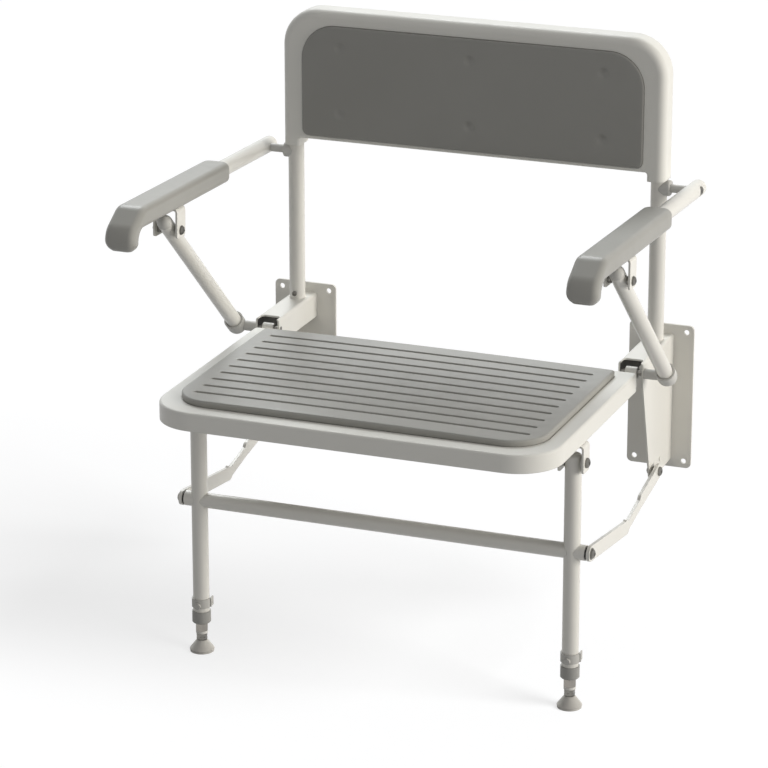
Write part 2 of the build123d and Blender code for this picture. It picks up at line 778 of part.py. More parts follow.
def leg_hanger(side, sign):
    ear_top_z = seat_bottom_z
    ear_foot_z = leg_pivot_z - hanger_foot
    with BuildPart() as hanger:
        with BuildSketch(side_plane(sign * side_x)) as profile:
            with Locations((leg_y, ear_foot_z)):
                Rectangle(hanger_length, ear_top_z - ear_foot_z,
                          align=(Align.CENTER, Align.MIN))
            fillet(profile.vertices().group_by(Axis.Y)[0], hanger_corner)
            with Locations((leg_y, leg_pivot_z)):
                Circle(leg_bolt_radius, mode=Mode.SUBTRACT)
        extrude(amount=hanger_half_width, both=True)
        fillet(hanger.faces().sort_by(Axis.Z)[-1].edges().filter_by(Axis.Y), hanger_bend)
        # Space for the leg between the ears
        with BuildSketch(Plane.XZ.offset(-leg_y)) as space:
            with Locations((sign * side_x, ear_top_z - hanger_wall)):
                Rectangle(2 * (hanger_half_width - hanger_wall), plate_height,
                          align=(Align.CENTER, Align.MAX))
            fillet(space.vertices().group_by(Axis.Y)[-1], hanger_bend - hanger_wall)
        extrude(amount=hanger_length, both=True, mode=Mode.SUBTRACT)
    keep(hanger.part, f"{side}_leg_hanger")


def leg_pivot_bolts():
    with BuildPart() as bolts:
        for _, sign in SIDES:
            with BuildSketch(side_plane(sign * side_x)):
                with Locations((leg_y, leg_pivot_z)):
                    Circle(leg_bolt_radius)
            extrude(amount=hanger_half_width, both=True)
            for end in (-1, 1):
                with BuildSketch(side_plane(sign * side_x + end * hanger_half_width)):
                    with Locations((leg_y, leg_pivot_z)):
                        Circle(leg_bolt_head)
                extrude(amount=end * leg_bolt_head_height, taper=head_taper)
    keep(bolts.part, "leg_pivot_bolts")


def leg_pivot_bushes():
    ear_inner = hanger_half_width - hanger_wall
    with BuildPart() as bushes:
        for _, sign in SIDES:
            for end in (-1, 1):
                with BuildSketch(side_plane(sign * side_x + end * (leg_radius + side_gap))):
                    with Locations((leg_y, leg_pivot_z)):
                        Circle(leg_bush_radius)
                        Circle(leg_bolt_radius, mode=Mode.SUBTRACT)
                extrude(amount=end * (ear_inner - leg_radius - side_gap))
    keep(bushes.part, "leg_pivot_bushes")


def leg_tube(side, sign):
    with BuildPart() as leg:
        with BuildSketch(Plane.XY.offset(leg_bottom_z)):
            with Locations((sign * side_x, leg_y)):
                Circle(leg_radius)
        extrude(amount=leg_pivot_z + leg_head - leg_bottom_z)
        fillet(leg.faces().sort_by(Axis.Z)[-1].edges(), leg_head_edge)
        with BuildSketch(Plane.XY.offset(leg_bottom_z)):
            with Locations((sign * side_x, leg_y)):
                Circle(leg_bore)
        extrude(amount=leg_pivot_z - leg_bottom_z, mode=Mode.SUBTRACT)
        # Pivot at the top, crossbar through the middle, clip peg below
        with BuildSketch(side_plane(sign * side_x)):
            with Locations((leg_y, leg_pivot_z)):
                Circle(leg_bolt_radius + running_fit)
            with Locations((leg_y, crossbar_z)):
                Circle(crossbar_radius)
        extrude(amount=2 * leg_radius, both=True, mode=Mode.SUBTRACT)
        with BuildSketch(Plane.XZ.offset(-leg_y)):
            with Locations((sign * side_x, clip_z)):
                Circle(clip_peg_radius + slide_gap)
        extrude(amount=2 * leg_radius, mode=Mode.SUBTRACT)
    keep(leg.part, f"{side}_leg_tube")


def crossbar():
    with BuildPart() as bar:
        with BuildSketch(side_plane(0)):
            with Locations((leg_y, crossbar_z)):
                Circle(crossbar_radius)
                Circle(crossbar_radius - crossbar_wall, mode=Mode.SUBTRACT)
        extrude(amount=crossbar_end_x, both=True)
    keep(bar.part, "crossbar")


def crossbar_plugs():
    with BuildPart() as plugs:
        for _, sign in SIDES:
            with BuildSketch(side_plane(sign * plug_end_x)):
                with Locations((leg_y, crossbar_z)):
                    Circle(crossbar_radius - crossbar_wall)
                    Circle(end_plug_bore, mode=Mode.SUBTRACT)
            extrude(amount=-sign * end_plug_depth)
    keep(plugs.part, "crossbar_plugs")


def link_bar(side, sign):
    with BuildPart() as link:
        with BuildSketch(side_plane(sign * link_inner_x)):
            # Broad stretch by the gusset, with a step at its end
            with BuildLine() as latch:
                CenterArc((link_pivot_y, link_pivot_z), link_eye, 0, 360)
                CenterArc((link_latch_y, link_latch_z), link_latch_radius, 0, 360)
            make_hull(latch.edges())
            # Slim stretch from the gusset to the bend
            with BuildLine() as slim:
                CenterArc((link_pivot_y, link_pivot_z), link_narrow, 0, 360)
                CenterArc((link_bend_y, link_bend_z), link_narrow, 0, 360)
            make_hull(slim.edges())
            # Broad stretch from the bend to the crossbar
            with BuildLine() as broad:
                CenterArc((link_bend_y, link_bend_z), link_wide, 0, 360)
                CenterArc((leg_y, crossbar_z), link_eye, 0, 360)
            make_hull(broad.edges())
            with Locations((link_tooth_y, link_tooth_z)):
                Circle(link_tooth_radius)
            with Locations((link_pivot_y, link_pivot_z)):
                Circle(link_bolt_radius + running_fit, mode=Mode.SUBTRACT)
            with Locations((leg_y, crossbar_z)):
                Circle(link_bolt_radius, mode=Mode.SUBTRACT)
        extrude(amount=sign * link_thickness)
    keep(link.part, f"{side}_link_bar")


def link_end_bolt(side, sign):
    with BuildPart() as bolt:
        with BuildSketch(side_plane(sign * link_inner_x)):
            with Locations((leg_y, crossbar_z)):
                Circle(link_bolt_radius)
        extrude(amount=sign * link_thickness)
        with BuildSketch(side_plane(sign * link_outer_x)):
            with Locations((leg_y, crossbar_z)):
                Circle(link_bolt_head)
        extrude(amount=sign * link_bolt_head_height, taper=head_taper)
    keep(bolt.part, f"{side}_link_end_bolt")


def arm_tube(side, sign):
    x = sign * arm_x
    bore = arm_radius - arm_wall
    dome_start = arm_radius - arm_tail
    with BuildPart() as arm:
        # Half section of a tube with a domed rear end, turned about the arm's axis
        with BuildSketch(arm_side_plane(x)):
            with BuildLine():
                Polyline((dome_start, arm_radius), (arm_length, arm_radius), (arm_length, bore),
                         (arm_radius, bore), (arm_radius, 0), (-arm_tail, 0))
                CenterArc((dome_start, 0), arm_radius, 90, 90)
            make_face()
        revolve(axis=Axis((x, arm_pivot.Y, arm_pivot.Z), arm_forward))
        # Cross hole and the spot face for the bolt head
        with BuildSketch(side_plane(x)):
            with Locations((post_y, arm_pivot_z)):
                Circle(arm_bolt_radius + running_fit)
        extrude(amount=2 * arm_radius, both=True, mode=Mode.SUBTRACT)
        with BuildSketch(side_plane(sign * (arm_x + arm_radius - arm_spot_depth))):
            with Locations((post_y, arm_pivot_z)):
                Circle(arm_spot_radius)
        extrude(amount=sign * 2 * arm_spot_depth, mode=Mode.SUBTRACT)
    keep(arm.part, f"{side}_arm_tube")


def arm_pad(side, sign):
    x = sign * arm_x
    with BuildPart() as pad:
        # Side profile with a drooping nose
        with BuildSketch(arm_side_plane(x)) as profile:
            with BuildLine():
                Polyline(
                    (arm_pad_rear, arm_pad_bottom),
                    (arm_pad_nose_back, arm_pad_bottom),
                    (arm_pad_nose_back, arm_pad_nose_bottom),
                    (arm_pad_nose_foot, arm_pad_nose_bottom),
                    (arm_pad_tip, arm_pad_tip_height),
                    (arm_pad_ridge, arm_pad_top),
                    (arm_pad_rear, arm_pad_top),
                    close=True,
                )
            make_face()
            for corner, bend in (
                ((arm_pad_nose_back, arm_pad_bottom), arm_pad_inner_bend),
                ((arm_pad_nose_back, arm_pad_nose_bottom), arm_pad_nose_edge),
                ((arm_pad_nose_foot, arm_pad_nose_bottom), arm_pad_nose_edge),
                ((arm_pad_tip, arm_pad_tip_height), arm_pad_tip_bend),
                ((arm_pad_ridge, arm_pad_top), arm_pad_ridge_bend),
            ):
                fillet(profile.vertices().sort_by_distance(corner)[0], bend)
        extrude(amount=arm_pad_half_width, both=True)
        # Rounded rear end in plan, then soft edges along both sides
        rear = pad.edges().filter_by(lambda e: abs(e.tangent_at(0.5).dot(arm_up)) > 0.99)
        fillet(rear.sort_by(Axis.Y)[-2:], arm_pad_rear_corner)
        rear_y = arm_pivot.Y - arm_pad_rear - arm_pad_rear_corner
        flanks = pad.faces().filter_by(Axis.X).edges()
        fillet(flanks.filter_by(lambda e: e.center().Y < rear_y), arm_pad_edge)
        with BuildSketch(Plane(origin=(x, arm_pivot.Y, arm_pivot.Z), x_dir=(1, 0, 0), z_dir=arm_forward)):
            Circle(arm_radius + arm_pad_fit / 2)
        extrude(amount=arm_length + arm_pad_fit, mode=Mode.SUBTRACT)
    keep(pad.part, f"{side}_arm_pad")


def strut_fork(side, sign):
    x = sign * arm_x
    top = arm_pad_bottom
    foot = fork_below - fork_foot
    with BuildPart() as fork:
        with BuildSketch(arm_side_plane(x)) as profile:
            with Locations((fork_along, foot)):
                Rectangle(fork_length, top - foot, align=(Align.CENTER, Align.MIN))
            fillet(profile.vertices().group_by(Axis.Y)[0], fork_corner)
            with Locations((fork_along, fork_below)):
                Circle(strut_bolt_radius, mode=Mode.SUBTRACT)
        extrude(amount=fork_half_width, both=True)
        web_edges = fork.edges().filter_by(lambda e: abs(e.tangent_at(0.5).dot(arm_forward)) > 0.99)
        fillet(web_edges.group_by(Axis.Z)[-1], fork_bend)
        # Space for the strut between the ears
        across = Plane(origin=strut_pivot + Vector(x, 0, 0), x_dir=(1, 0, 0), z_dir=arm_forward)
        with BuildSketch(across) as space:
            with Locations((0, top - fork_wall - fork_below)):
                Rectangle(2 * (fork_half_width - fork_wall), 2 * fork_length - fork_below,
                          align=(Align.CENTER, Align.MAX))
            fillet(space.vertices().group_by(Axis.Y)[-1], fork_bend - fork_wall)
        extrude(amount=fork_length, both=True, mode=Mode.SUBTRACT)
    keep(fork.part, f"{side}_strut_fork")


def strut_bolt(side, sign):
    x = sign * arm_x
    with BuildPart() as bolt:
        with BuildSketch(side_plane(x)):
            with Locations((strut_pivot.Y, strut_pivot.Z)):
                Circle(strut_bolt_radius)
        extrude(amount=fork_half_width, both=True)
        shoulder_start = strut_radius + side_gap
        for end in (-1, 1):
            # Shoulder that keeps the strut midway between the ears, and a head outside
            with BuildSketch(side_plane(x + end * shoulder_start)):
                with Locations((strut_pivot.Y, strut_pivot.Z)):
                    Circle(strut_shoulder)
            extrude(amount=end * (fork_half_width - fork_wall - shoulder_start))
            with BuildSketch(side_plane(x + end * fork_half_width)):
                with Locations((strut_pivot.Y, strut_pivot.Z)):
                    Circle(strut_bolt_head)
            extrude(amount=end * strut_bolt_head_height, taper=head_taper)
    keep(bolt.part, f"{side}_strut_bolt")


def strut_plane(x, along):
    """Plane across the strut, at a distance along it from its upper pivot."""
    return Plane(origin=strut_pivot + Vector(x, 0, 0) + strut_down * along, x_dir=(1, 0, 0), z_dir=strut_down)


def strut_tube(side, sign):
    x = sign * arm_x
    tube_length = strut_span - cup_floor - side_gap + strut_top
    with BuildPart() as strut:
        with BuildSketch(strut_plane(x, -strut_top)):
            Circle(strut_radius)
            Circle(strut_radius - strut_wall, mode=Mode.SUBTRACT)
        extrude(amount=tube_length)
        with BuildSketch(side_plane(x)):
            with Locations((strut_pivot.Y, strut_pivot.Z)):
                Circle(strut_bolt_radius + running_fit)
        extrude(amount=2 * strut_radius, both=True, mode=Mode.SUBTRACT)
    keep(strut.part, f"{side}_strut_tube")


def strut_cap(side, sign):
    x = sign * arm_x
    with BuildPart() as cap:
        # Dome on the tube's end, with a plug that grips the bore
        top = strut_plane(x, -strut_top)
        with Locations(top):
            Sphere(strut_radius)
        split(bisect_by=top, keep=Keep.BOTTOM)
        with BuildSketch(top):
            Circle(strut_radius - strut_wall)
        extrude(amount=cap_plug)
    keep(cap.part, f"{side}_strut_cap")


def strut_cup(side, sign):
    x = sign * arm_x
    with BuildPart() as cup:
        # Round-bottomed socket for the strut's end
        with Locations((x, hinge_y, hinge_z)):
            Sphere(cup_radius)
        with BuildSketch(strut_plane(x, strut_span)):
            Circle(cup_radius)
        extrude(amount=-cup_mouth)
        # Hollow stub that turns on the hinge pin
        with BuildSketch(side_plane(sign * cup_stub_end_x)):
            with Locations((hinge_y, hinge_z)):
                Circle(cup_stub_radius)
        extrude(amount=sign * (arm_x - cup_stub_end_x))
        with BuildSketch(side_plane(sign * cup_stub_end_x)):
            with Locations((hinge_y, hinge_z)):
                Circle(hinge_pin_radius + running_fit)
        extrude(amount=sign * (hinge_pin_end_x + side_gap - cup_stub_end_x), mode=Mode.SUBTRACT)
        with BuildSketch(strut_plane(x, strut_span - cup_floor)):
            Circle(strut_radius + cup_gap)
        extrude(amount=-2 * cup_mouth, mode=Mode.SUBTRACT)
    keep(cup.part, f"{side}_strut_cup")


def leg_ferrule(side, sign):
    with BuildPart() as ferrule:
        with BuildSketch(Plane.XY.offset(ferrule_bottom_z)):
            with Locations((sign * side_x, leg_y)):
                Circle(ferrule_radius)
        extrude(amount=ferrule_top_z - ferrule_bottom_z)
        chamfer(ferrule.faces().sort_by(Axis.Z)[0].edges(), ferrule_chamfer)
        # Counterbore for the leg, bore for the sliding extension
        with BuildSketch(Plane.XY.offset(leg_bottom_z)):
            with Locations((sign * side_x, leg_y)):
                Circle(leg_radius)
        extrude(amount=ferrule_top_z - leg_bottom_z, mode=Mode.SUBTRACT)
        with BuildSketch(Plane.XY.offset(ferrule_bottom_z)):
            with Locations((sign * side_x, leg_y)):
                Circle(extension_radius + slide_gap)
        extrude(amount=ferrule_top_z - ferrule_bottom_z, mode=Mode.SUBTRACT)
    keep(ferrule.part, f"{side}_leg_ferrule")


def leg_extension(side, sign):
    with BuildPart() as tube:
        with BuildSketch(Plane.XY.offset(extension_bottom_z)):
            with Locations((sign * side_x, leg_y)):
                Circle(extension_radius)
                Circle(extension_radius - extension_wall, mode=Mode.SUBTRACT)
        extrude(amount=extension_top_z - extension_bottom_z)
        # Row of height holes, one of them behind the clip's peg
        with BuildSketch(Plane.XZ.offset(-leg_y)):
            for i in range(height_hole_count):
                with Locations((sign * side_x, clip_z + i * height_hole_pitch)):
                    Circle(height_hole_radius)
        extrude(amount=2 * extension_radius, mode=Mode.SUBTRACT)
    keep(tube.part, f"{side}_leg_extension")


def extension_plug(side, sign):
    with BuildPart() as plug:
        with BuildSketch(Plane.XY.offset(plug_bottom_z)):
            with Locations((sign * side_x, leg_y)):
                Circle(extension_radius)
        extrude(amount=plug_flange)
        with BuildSketch(Plane.XY.offset(extension_bottom_z)):
            with Locations((sign * side_x, leg_y)):
                Circle(extension_radius - extension_wall)
        extrude(amount=plug_sleeve)
        with BuildSketch(Plane.XY.offset(plug_bottom_z)):
            with Locations((sign * side_x, leg_y)):
                Circle(stud_radius + running_fit)
        extrude(amount=plug_flange + plug_sleeve, mode=Mode.SUBTRACT)
    keep(plug.part, f"{side}_extension_plug")


def foot_stud(side, sign):
    with BuildPart() as stud:
        with BuildSketch(Plane.XY.offset(nut_bottom_z - foot_socket_depth)):
            with Locations((sign * side_x, leg_y)):
                Circle(stud_radius)
        extrude(amount=stud_top_z - nut_bottom_z + foot_socket_depth)
        with BuildSketch(Plane.XY.offset(nut_bottom_z)):
            with Locations((sign * side_x, leg_y)):
                RegularPolygon(nut_flats / 2, 6, major_radius=False)
        extrude(amount=nut_height - side_gap)
    keep(stud.part, f"{side}_foot_stud")


def foot_pad(side, sign):
    groove_top_z = (foot_wide_z + foot_groove_z) / 2
    with BuildPart() as foot:
        # Half section of the flared foot, turned about the leg's axis
        with BuildSketch(Plane(origin=(sign * side_x, leg_y, 0), x_dir=(1, 0, 0), z_dir=(0, -1, 0))):
            with BuildLine():
                Polyline(
                    (0, nut_bottom_z),
                    (foot_top_radius, nut_bottom_z),
                    (foot_wide_radius, foot_wide_z),
                    (foot_wide_radius, groove_top_z),
                    (foot_wide_radius - foot_groove_depth, foot_groove_z),
                    (foot_base_radius, floor_z),
                    (0, floor_z),
                    close=True,
                )
            make_face()
        revolve(axis=Axis((sign * side_x, leg_y, 0), (0, 0, 1)))
        with BuildSketch(Plane.XY.offset(nut_bottom_z)):
            with Locations((sign * side_x, leg_y)):
                Circle(stud_radius)
        extrude(amount=-foot_socket_depth, mode=Mode.SUBTRACT)
    keep(foot.part, f"{side}_foot_pad")


def leg_clip(side, sign):
    inner = leg_radius + slide_gap
    outer = inner + clip_wall
    peg_tip = extension_radius + slide_gap
    with BuildPart() as clip:
        # Collar open at the back, with straight jaws so that it pulls off forward
        with BuildSketch(Plane.XY.offset(clip_z - clip_height / 2)):
            with Locations((sign * side_x, leg_y)):
                Circle(outer)
                Rectangle(2 * outer, outer - clip_wall, align=(Align.CENTER, Align.MIN))
                Circle(inner, mode=Mode.SUBTRACT)
                Rectangle(2 * inner, 2 * outer, align=(Align.CENTER, Align.MIN), mode=Mode.SUBTRACT)
        extrude(amount=clip_height)
        # Peg through the leg's wall and the round button in front of it
        with BuildSketch(Plane.XZ.offset(-leg_y + peg_tip)):
            with Locations((sign * side_x, clip_z)):
                Circle(clip_peg_radius)
        extrude(amount=inner - peg_tip + clip_wall / 2)
        with BuildSketch(Plane.XZ.offset(-leg_y + outer - clip_wall / 2)):
            with Locations((sign * side_x, clip_z - clip_button_drop)):
                Circle(clip_button_radius)
        extrude(amount=clip_wall / 2 + clip_button_height)
        # Finger tail on the right-hand jaw
        with BuildSketch(Plane.XY.offset(clip_z + clip_height / 2 - clip_tail_length)):
            with Locations((sign * side_x + outer - clip_wall / 2, leg_y)):
                Rectangle(clip_wall / 2 + clip_tail_reach, clip_tail_width,
                          align=(Align.MIN, Align.MIN))
        extrude(amount=clip_tail_length)
    keep(clip.part, f"{side}_leg_clip")


def build():
    post_screws()
    backrest_shell()
    back_pad()
    back_pad_screws()
    arm_pivot_bolts()
    hinge_pins()
    link_pivot_bolts()
    seat_frame()
    seat_pad()
    seat_pad_screws()
    leg_pivot_bolts()
    leg_pivot_bushes()
    crossbar()
    crossbar_plugs()
    per_side = (
        wall_plate, bracket_arm, back_post, arm_collar, hinge_lug, leg_hanger, leg_tube,
        link_bar, link_end_bolt, arm_tube, arm_pad, strut_fork, strut_bolt, strut_tube,
        strut_cap, strut_cup, leg_ferrule, leg_extension, extension_plug, foot_stud,
        foot_pad, leg_clip,
    )
    for side, sign in SIDES:
        for make in per_side:
            make(side, sign)


build()
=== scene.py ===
# %% [markdown]
# # A fold-up padded shower seat
# The frame brings every rigid piece of the seat in its place, with the joints that fold it. This lesson
# gives each surface its finish, makes the moulded pads and the small fasteners as meshes, and sets up a
# white studio. Sizes are in metres, as the frame has them, and small ones are written in millimetres times
# MM.

import json
from math import cos, pi, radians, sin, sqrt, tan, tau

import bmesh
import bpy
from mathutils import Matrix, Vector
from mathutils.geometry import delaunay_2d_cdt


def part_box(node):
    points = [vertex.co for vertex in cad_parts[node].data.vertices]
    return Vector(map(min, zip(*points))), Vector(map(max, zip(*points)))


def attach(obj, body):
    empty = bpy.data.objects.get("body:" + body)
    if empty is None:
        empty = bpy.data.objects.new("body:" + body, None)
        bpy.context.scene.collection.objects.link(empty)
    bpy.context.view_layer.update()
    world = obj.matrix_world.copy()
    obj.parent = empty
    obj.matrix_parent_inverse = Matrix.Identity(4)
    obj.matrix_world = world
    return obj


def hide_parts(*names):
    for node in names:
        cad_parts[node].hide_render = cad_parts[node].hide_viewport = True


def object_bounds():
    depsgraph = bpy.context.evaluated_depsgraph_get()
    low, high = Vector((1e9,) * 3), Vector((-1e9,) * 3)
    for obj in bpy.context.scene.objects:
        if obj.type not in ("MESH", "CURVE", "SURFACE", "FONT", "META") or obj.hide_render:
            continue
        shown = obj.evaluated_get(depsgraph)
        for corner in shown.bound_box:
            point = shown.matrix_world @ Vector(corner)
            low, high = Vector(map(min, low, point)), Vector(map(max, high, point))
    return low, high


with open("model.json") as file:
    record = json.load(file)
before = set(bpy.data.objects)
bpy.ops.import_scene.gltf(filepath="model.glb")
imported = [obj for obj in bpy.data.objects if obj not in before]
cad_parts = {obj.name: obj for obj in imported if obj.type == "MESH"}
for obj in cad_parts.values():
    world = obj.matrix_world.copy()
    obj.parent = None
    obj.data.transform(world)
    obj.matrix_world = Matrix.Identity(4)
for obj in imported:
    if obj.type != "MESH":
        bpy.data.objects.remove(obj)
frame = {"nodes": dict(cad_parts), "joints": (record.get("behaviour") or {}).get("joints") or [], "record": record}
nodes = frame["nodes"]
joints = {joint["name"]: joint for joint in frame["joints"]}
cad_low, cad_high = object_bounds()
scene = bpy.context.scene
MM = 0.001
SIDES = (("left", -1), ("right", 1))
print("frame:", len(nodes), "pieces,", len(joints), "joints, box", [round(v, 3) for v in cad_high - cad_low])

# %% [markdown]
# ## The camera
# The seat is seen from the front, a little from the right and from above, through a long lens. A long lens
# keeps the posts and legs almost parallel, so the place and the focal length have to be right together:
# moving the camera back and zooming in gives the same size but flatter lines.

# %% Camera
CAMERA_PLACE = Vector((1.9149, -5.3379, 1.9019))
CAMERA_TURN = radians(21.30)
CAMERA_TILT = radians(18.74)
LENS_MM = 175.2
SENSOR_MM = 36.0
CLIP_END = 60.0

lens = bpy.data.cameras.new("studio_camera")
lens.lens = LENS_MM
lens.sensor_width = SENSOR_MM
lens.clip_end = CLIP_END
camera = bpy.data.objects.new("studio_camera", lens)
scene.collection.objects.link(camera)
level = cos(CAMERA_TILT)
looking = Vector((-sin(CAMERA_TURN) * level, cos(CAMERA_TURN) * level, -sin(CAMERA_TILT)))
camera.location = CAMERA_PLACE
camera.rotation_mode = "QUATERNION"
camera.rotation_quaternion = looking.to_track_quat("-Z", "Y")
scene.camera = camera
scene.view_settings.view_transform = "Standard"
print("camera looks along", [round(v, 3) for v in looking])

# %% [markdown]
# ## Studio: floor, sky and lamps
# A white sweep would throw a lot of light back up and flatten the front faces. Here the floor and the sky
# are white only to the camera and in reflections, by the Light Path node, and dimmer for the light that
# they give. One lamp stands low on the right and whitens the right-hand faces. The other stands behind on
# the left and lights the tops; the backrest throws its soft shadow across the front of the seat. Front
# faces keep the grey of the sky. Light linking keeps these two off the floor, which has a higher lamp of
# its own, so that one soft shadow lies on the left of the seat. The low lamp and half of the back one are
# hidden from reflections, or the pads would mirror them as broad white patches.

# %% White to the camera only
SKY_FILL = 0.305
FLOOR_SHADE = 0.37
FLOOR_GLOW = 1.13
FLOOR_TONE = 0.35
FLOOR_SIZE = 14.0
FLOOR_GAP = 0.1 * MM
FLOOR_PAPER = (0.92, 0.925, 0.935, 1.0)
WHITE = (1.0, 1.0, 1.0, 1.0)


def maths(tree, operation, first, second):
    """A Math node; its two inputs are sockets or plain numbers."""
    node = tree.nodes.new("ShaderNodeMath")
    node.operation = operation
    for slot, value in zip(node.inputs, (first, second)):
        if isinstance(value, (int, float)):
            slot.default_value = value
        else:
            tree.links.new(value, slot)
    return node.outputs[0]


def seen_directly(tree):
    """A value of 1 for camera, glossy and transmission rays, and 0 for the rest."""
    path = tree.nodes.new("ShaderNodeLightPath")
    camera_ray, glossy_ray, through_ray = (
        path.outputs[f"Is {kind} Ray"] for kind in ("Camera", "Glossy", "Transmission")
    )
    return maths(tree, "MAXIMUM", maths(tree, "MAXIMUM", camera_ray, glossy_ray), through_ray)


sky = bpy.data.worlds.new("studio_sky")
sky.use_nodes = True
scene.world = sky
tree = sky.node_tree
strength = tree.nodes.new("ShaderNodeMapRange")
strength.inputs["To Min"].default_value = SKY_FILL
strength.inputs["To Max"].default_value = 1.0
tree.links.new(seen_directly(tree), strength.inputs["Value"])
tree.nodes["Background"].inputs["Color"].default_value = WHITE
tree.links.new(strength.outputs["Result"], tree.nodes["Background"].inputs["Strength"])
print("sky fill", SKY_FILL)

# %% Floor that keeps the shadow
floor_mesh = bpy.data.meshes.new("studio_floor")
half = FLOOR_SIZE / 2
floor_z = cad_low.z - FLOOR_GAP
floor_mesh.from_pydata(
    [(x, y, floor_z) for x, y in ((-half, -half), (half, -half), (half, half), (-half, half))],
    [],
    [(0, 1, 2, 3)],
)
floor = bpy.data.objects.new("studio_floor", floor_mesh)
scene.collection.objects.link(floor)

paper = bpy.data.materials.new("studio_paper")
paper.use_nodes = True
tree = paper.node_tree
tree.nodes.clear()
matt = tree.nodes.new("ShaderNodeBsdfDiffuse")
matt.inputs["Color"].default_value = (FLOOR_TONE, FLOOR_TONE, FLOOR_TONE, 1.0)
lit = tree.nodes.new("ShaderNodeBsdfDiffuse")
lit.inputs["Color"].default_value = FLOOR_PAPER
glow = tree.nodes.new("ShaderNodeEmission")
glow.inputs["Color"].default_value = WHITE
glow.inputs["Strength"].default_value = FLOOR_GLOW
white = tree.nodes.new("ShaderNodeMixShader")
white.inputs["Fac"].default_value = FLOOR_SHADE
tree.links.new(glow.outputs[0], white.inputs[1])
tree.links.new(lit.outputs[0], white.inputs[2])
choose = tree.nodes.new("ShaderNodeMixShader")
tree.links.new(seen_directly(tree), choose.inputs["Fac"])
tree.links.new(matt.outputs[0], choose.inputs[1])
tree.links.new(white.outputs[0], choose.inputs[2])
output = tree.nodes.new("ShaderNodeOutputMaterial")
tree.links.new(choose.outputs[0], output.inputs["Surface"])
floor_mesh.materials.append(paper)
print("floor at", round(floor_z, 4))

# %% Lamps
SIDE_TOWARDS = Vector((1.0, 0.15, 0.13))
SIDE_POWER = 3.1
SIDE_SPREAD = radians(45.0)
BACK_TOWARDS = Vector((-0.55, 1.0, 0.97))
BACK_POWER = 2.1
BACK_MIRRORED = 0.5
BACK_SPREAD = radians(28.0)
FLOOR_TOWARDS = Vector((0.77, -0.1, 0.63))
FLOOR_POWER = 2.8
FLOOR_SPREAD = radians(31.0)
SIDE_COLOUR = (1.0, 0.97, 0.915)
BACK_COLOUR = (0.945, 0.985, 1.0)
FLOOR_COLOUR = (1.0, 1.0, 1.0)


def sun(name, towards, power, spread, colour):
    """A far lamp that shines from the given direction, with a disc of the given width."""
    lamp = bpy.data.lights.new(name, "SUN")
    lamp.energy = power
    lamp.angle = spread
    lamp.color = colour
    holder = bpy.data.objects.new(name, lamp)
    scene.collection.objects.link(holder)
    holder.rotation_mode = "QUATERNION"
    holder.rotation_quaternion = towards.to_track_quat("Z", "Y")
    return holder


def link_floor(holder, state):
    """Light only the floor with a lamp (INCLUDE), or everything but the floor (EXCLUDE)."""
    receivers = bpy.data.collections.new(holder.name + "_receivers")
    receivers.objects.link(floor)
    holder.light_linking.receiver_collection = receivers
    receivers.collection_objects[0].light_linking.link_state = state


seen_power = BACK_POWER * BACK_MIRRORED
unseen_power = BACK_POWER - seen_power
side_lamp = sun("side_lamp", SIDE_TOWARDS, SIDE_POWER, SIDE_SPREAD, SIDE_COLOUR)
back_lamp = sun("back_lamp", BACK_TOWARDS, seen_power, BACK_SPREAD, BACK_COLOUR)
back_fill = sun("back_fill", BACK_TOWARDS, unseen_power, BACK_SPREAD, BACK_COLOUR)
side_lamp.visible_glossy = False
back_fill.visible_glossy = False
for holder in (side_lamp, back_lamp, back_fill):
    link_floor(holder, "EXCLUDE")
link_floor(sun("floor_lamp", FLOOR_TOWARDS, FLOOR_POWER, FLOOR_SPREAD, FLOOR_COLOUR), "INCLUDE")
print("four lamps")

# %% [markdown]
# ## Shared surface effects
# Paint, moulded plastic and foam skin have three things in common: a slow cloudy change of tone, a fine
# grain, and edges that are rounder and more rubbed than the faces. Each effect is a node group that is
# built once, with named inputs, so that every finish can use it with its own values.

# %% Node group helper


def node_group(name, inputs, outputs):
    """An empty shader group with float inputs and float outputs, and its two end nodes."""
    group = bpy.data.node_groups.new(name, "ShaderNodeTree")
    for label, value in inputs:
        socket = group.interface.new_socket(label, in_out="INPUT", socket_type="NodeSocketFloat")
        socket.default_value = value
    for label in outputs:
        group.interface.new_socket(label, in_out="OUTPUT", socket_type="NodeSocketFloat")
    return group, group.nodes.new("NodeGroupInput"), group.nodes.new("NodeGroupOutput")


# %% Cloudy tone: slow changes of colour and gloss
STREAK_FINENESS = 4.3

cloud_group, entry, leave = node_group("cloudy_tone", [("Scale", 9.0), ("Contrast", 1.0)], ["Tone", "Smear"])
place = cloud_group.nodes.new("ShaderNodeTexCoord")
broad = cloud_group.nodes.new("ShaderNodeTexNoise")
broad.inputs["Detail"].default_value = 4.0
broad.inputs["Roughness"].default_value = 0.55
cloud_group.links.new(place.outputs["Object"], broad.inputs["Vector"])
cloud_group.links.new(entry.outputs["Scale"], broad.inputs["Scale"])
centred = maths(cloud_group, "SUBTRACT", broad.outputs["Fac"], 0.5)
spread_out = maths(cloud_group, "MULTIPLY", centred, entry.outputs["Contrast"])
cloud_group.links.new(maths(cloud_group, "ADD", spread_out, 0.5), leave.inputs["Tone"])
streak = cloud_group.nodes.new("ShaderNodeTexNoise")
streak.inputs["Detail"].default_value = 6.0
streak.inputs["Distortion"].default_value = 1.4
cloud_group.links.new(place.outputs["Object"], streak.inputs["Vector"])
finer = maths(cloud_group, "MULTIPLY", entry.outputs["Scale"], STREAK_FINENESS)
cloud_group.links.new(finer, streak.inputs["Scale"])
cloud_group.links.new(streak.outputs["Fac"], leave.inputs["Smear"])
print("group", cloud_group.name)

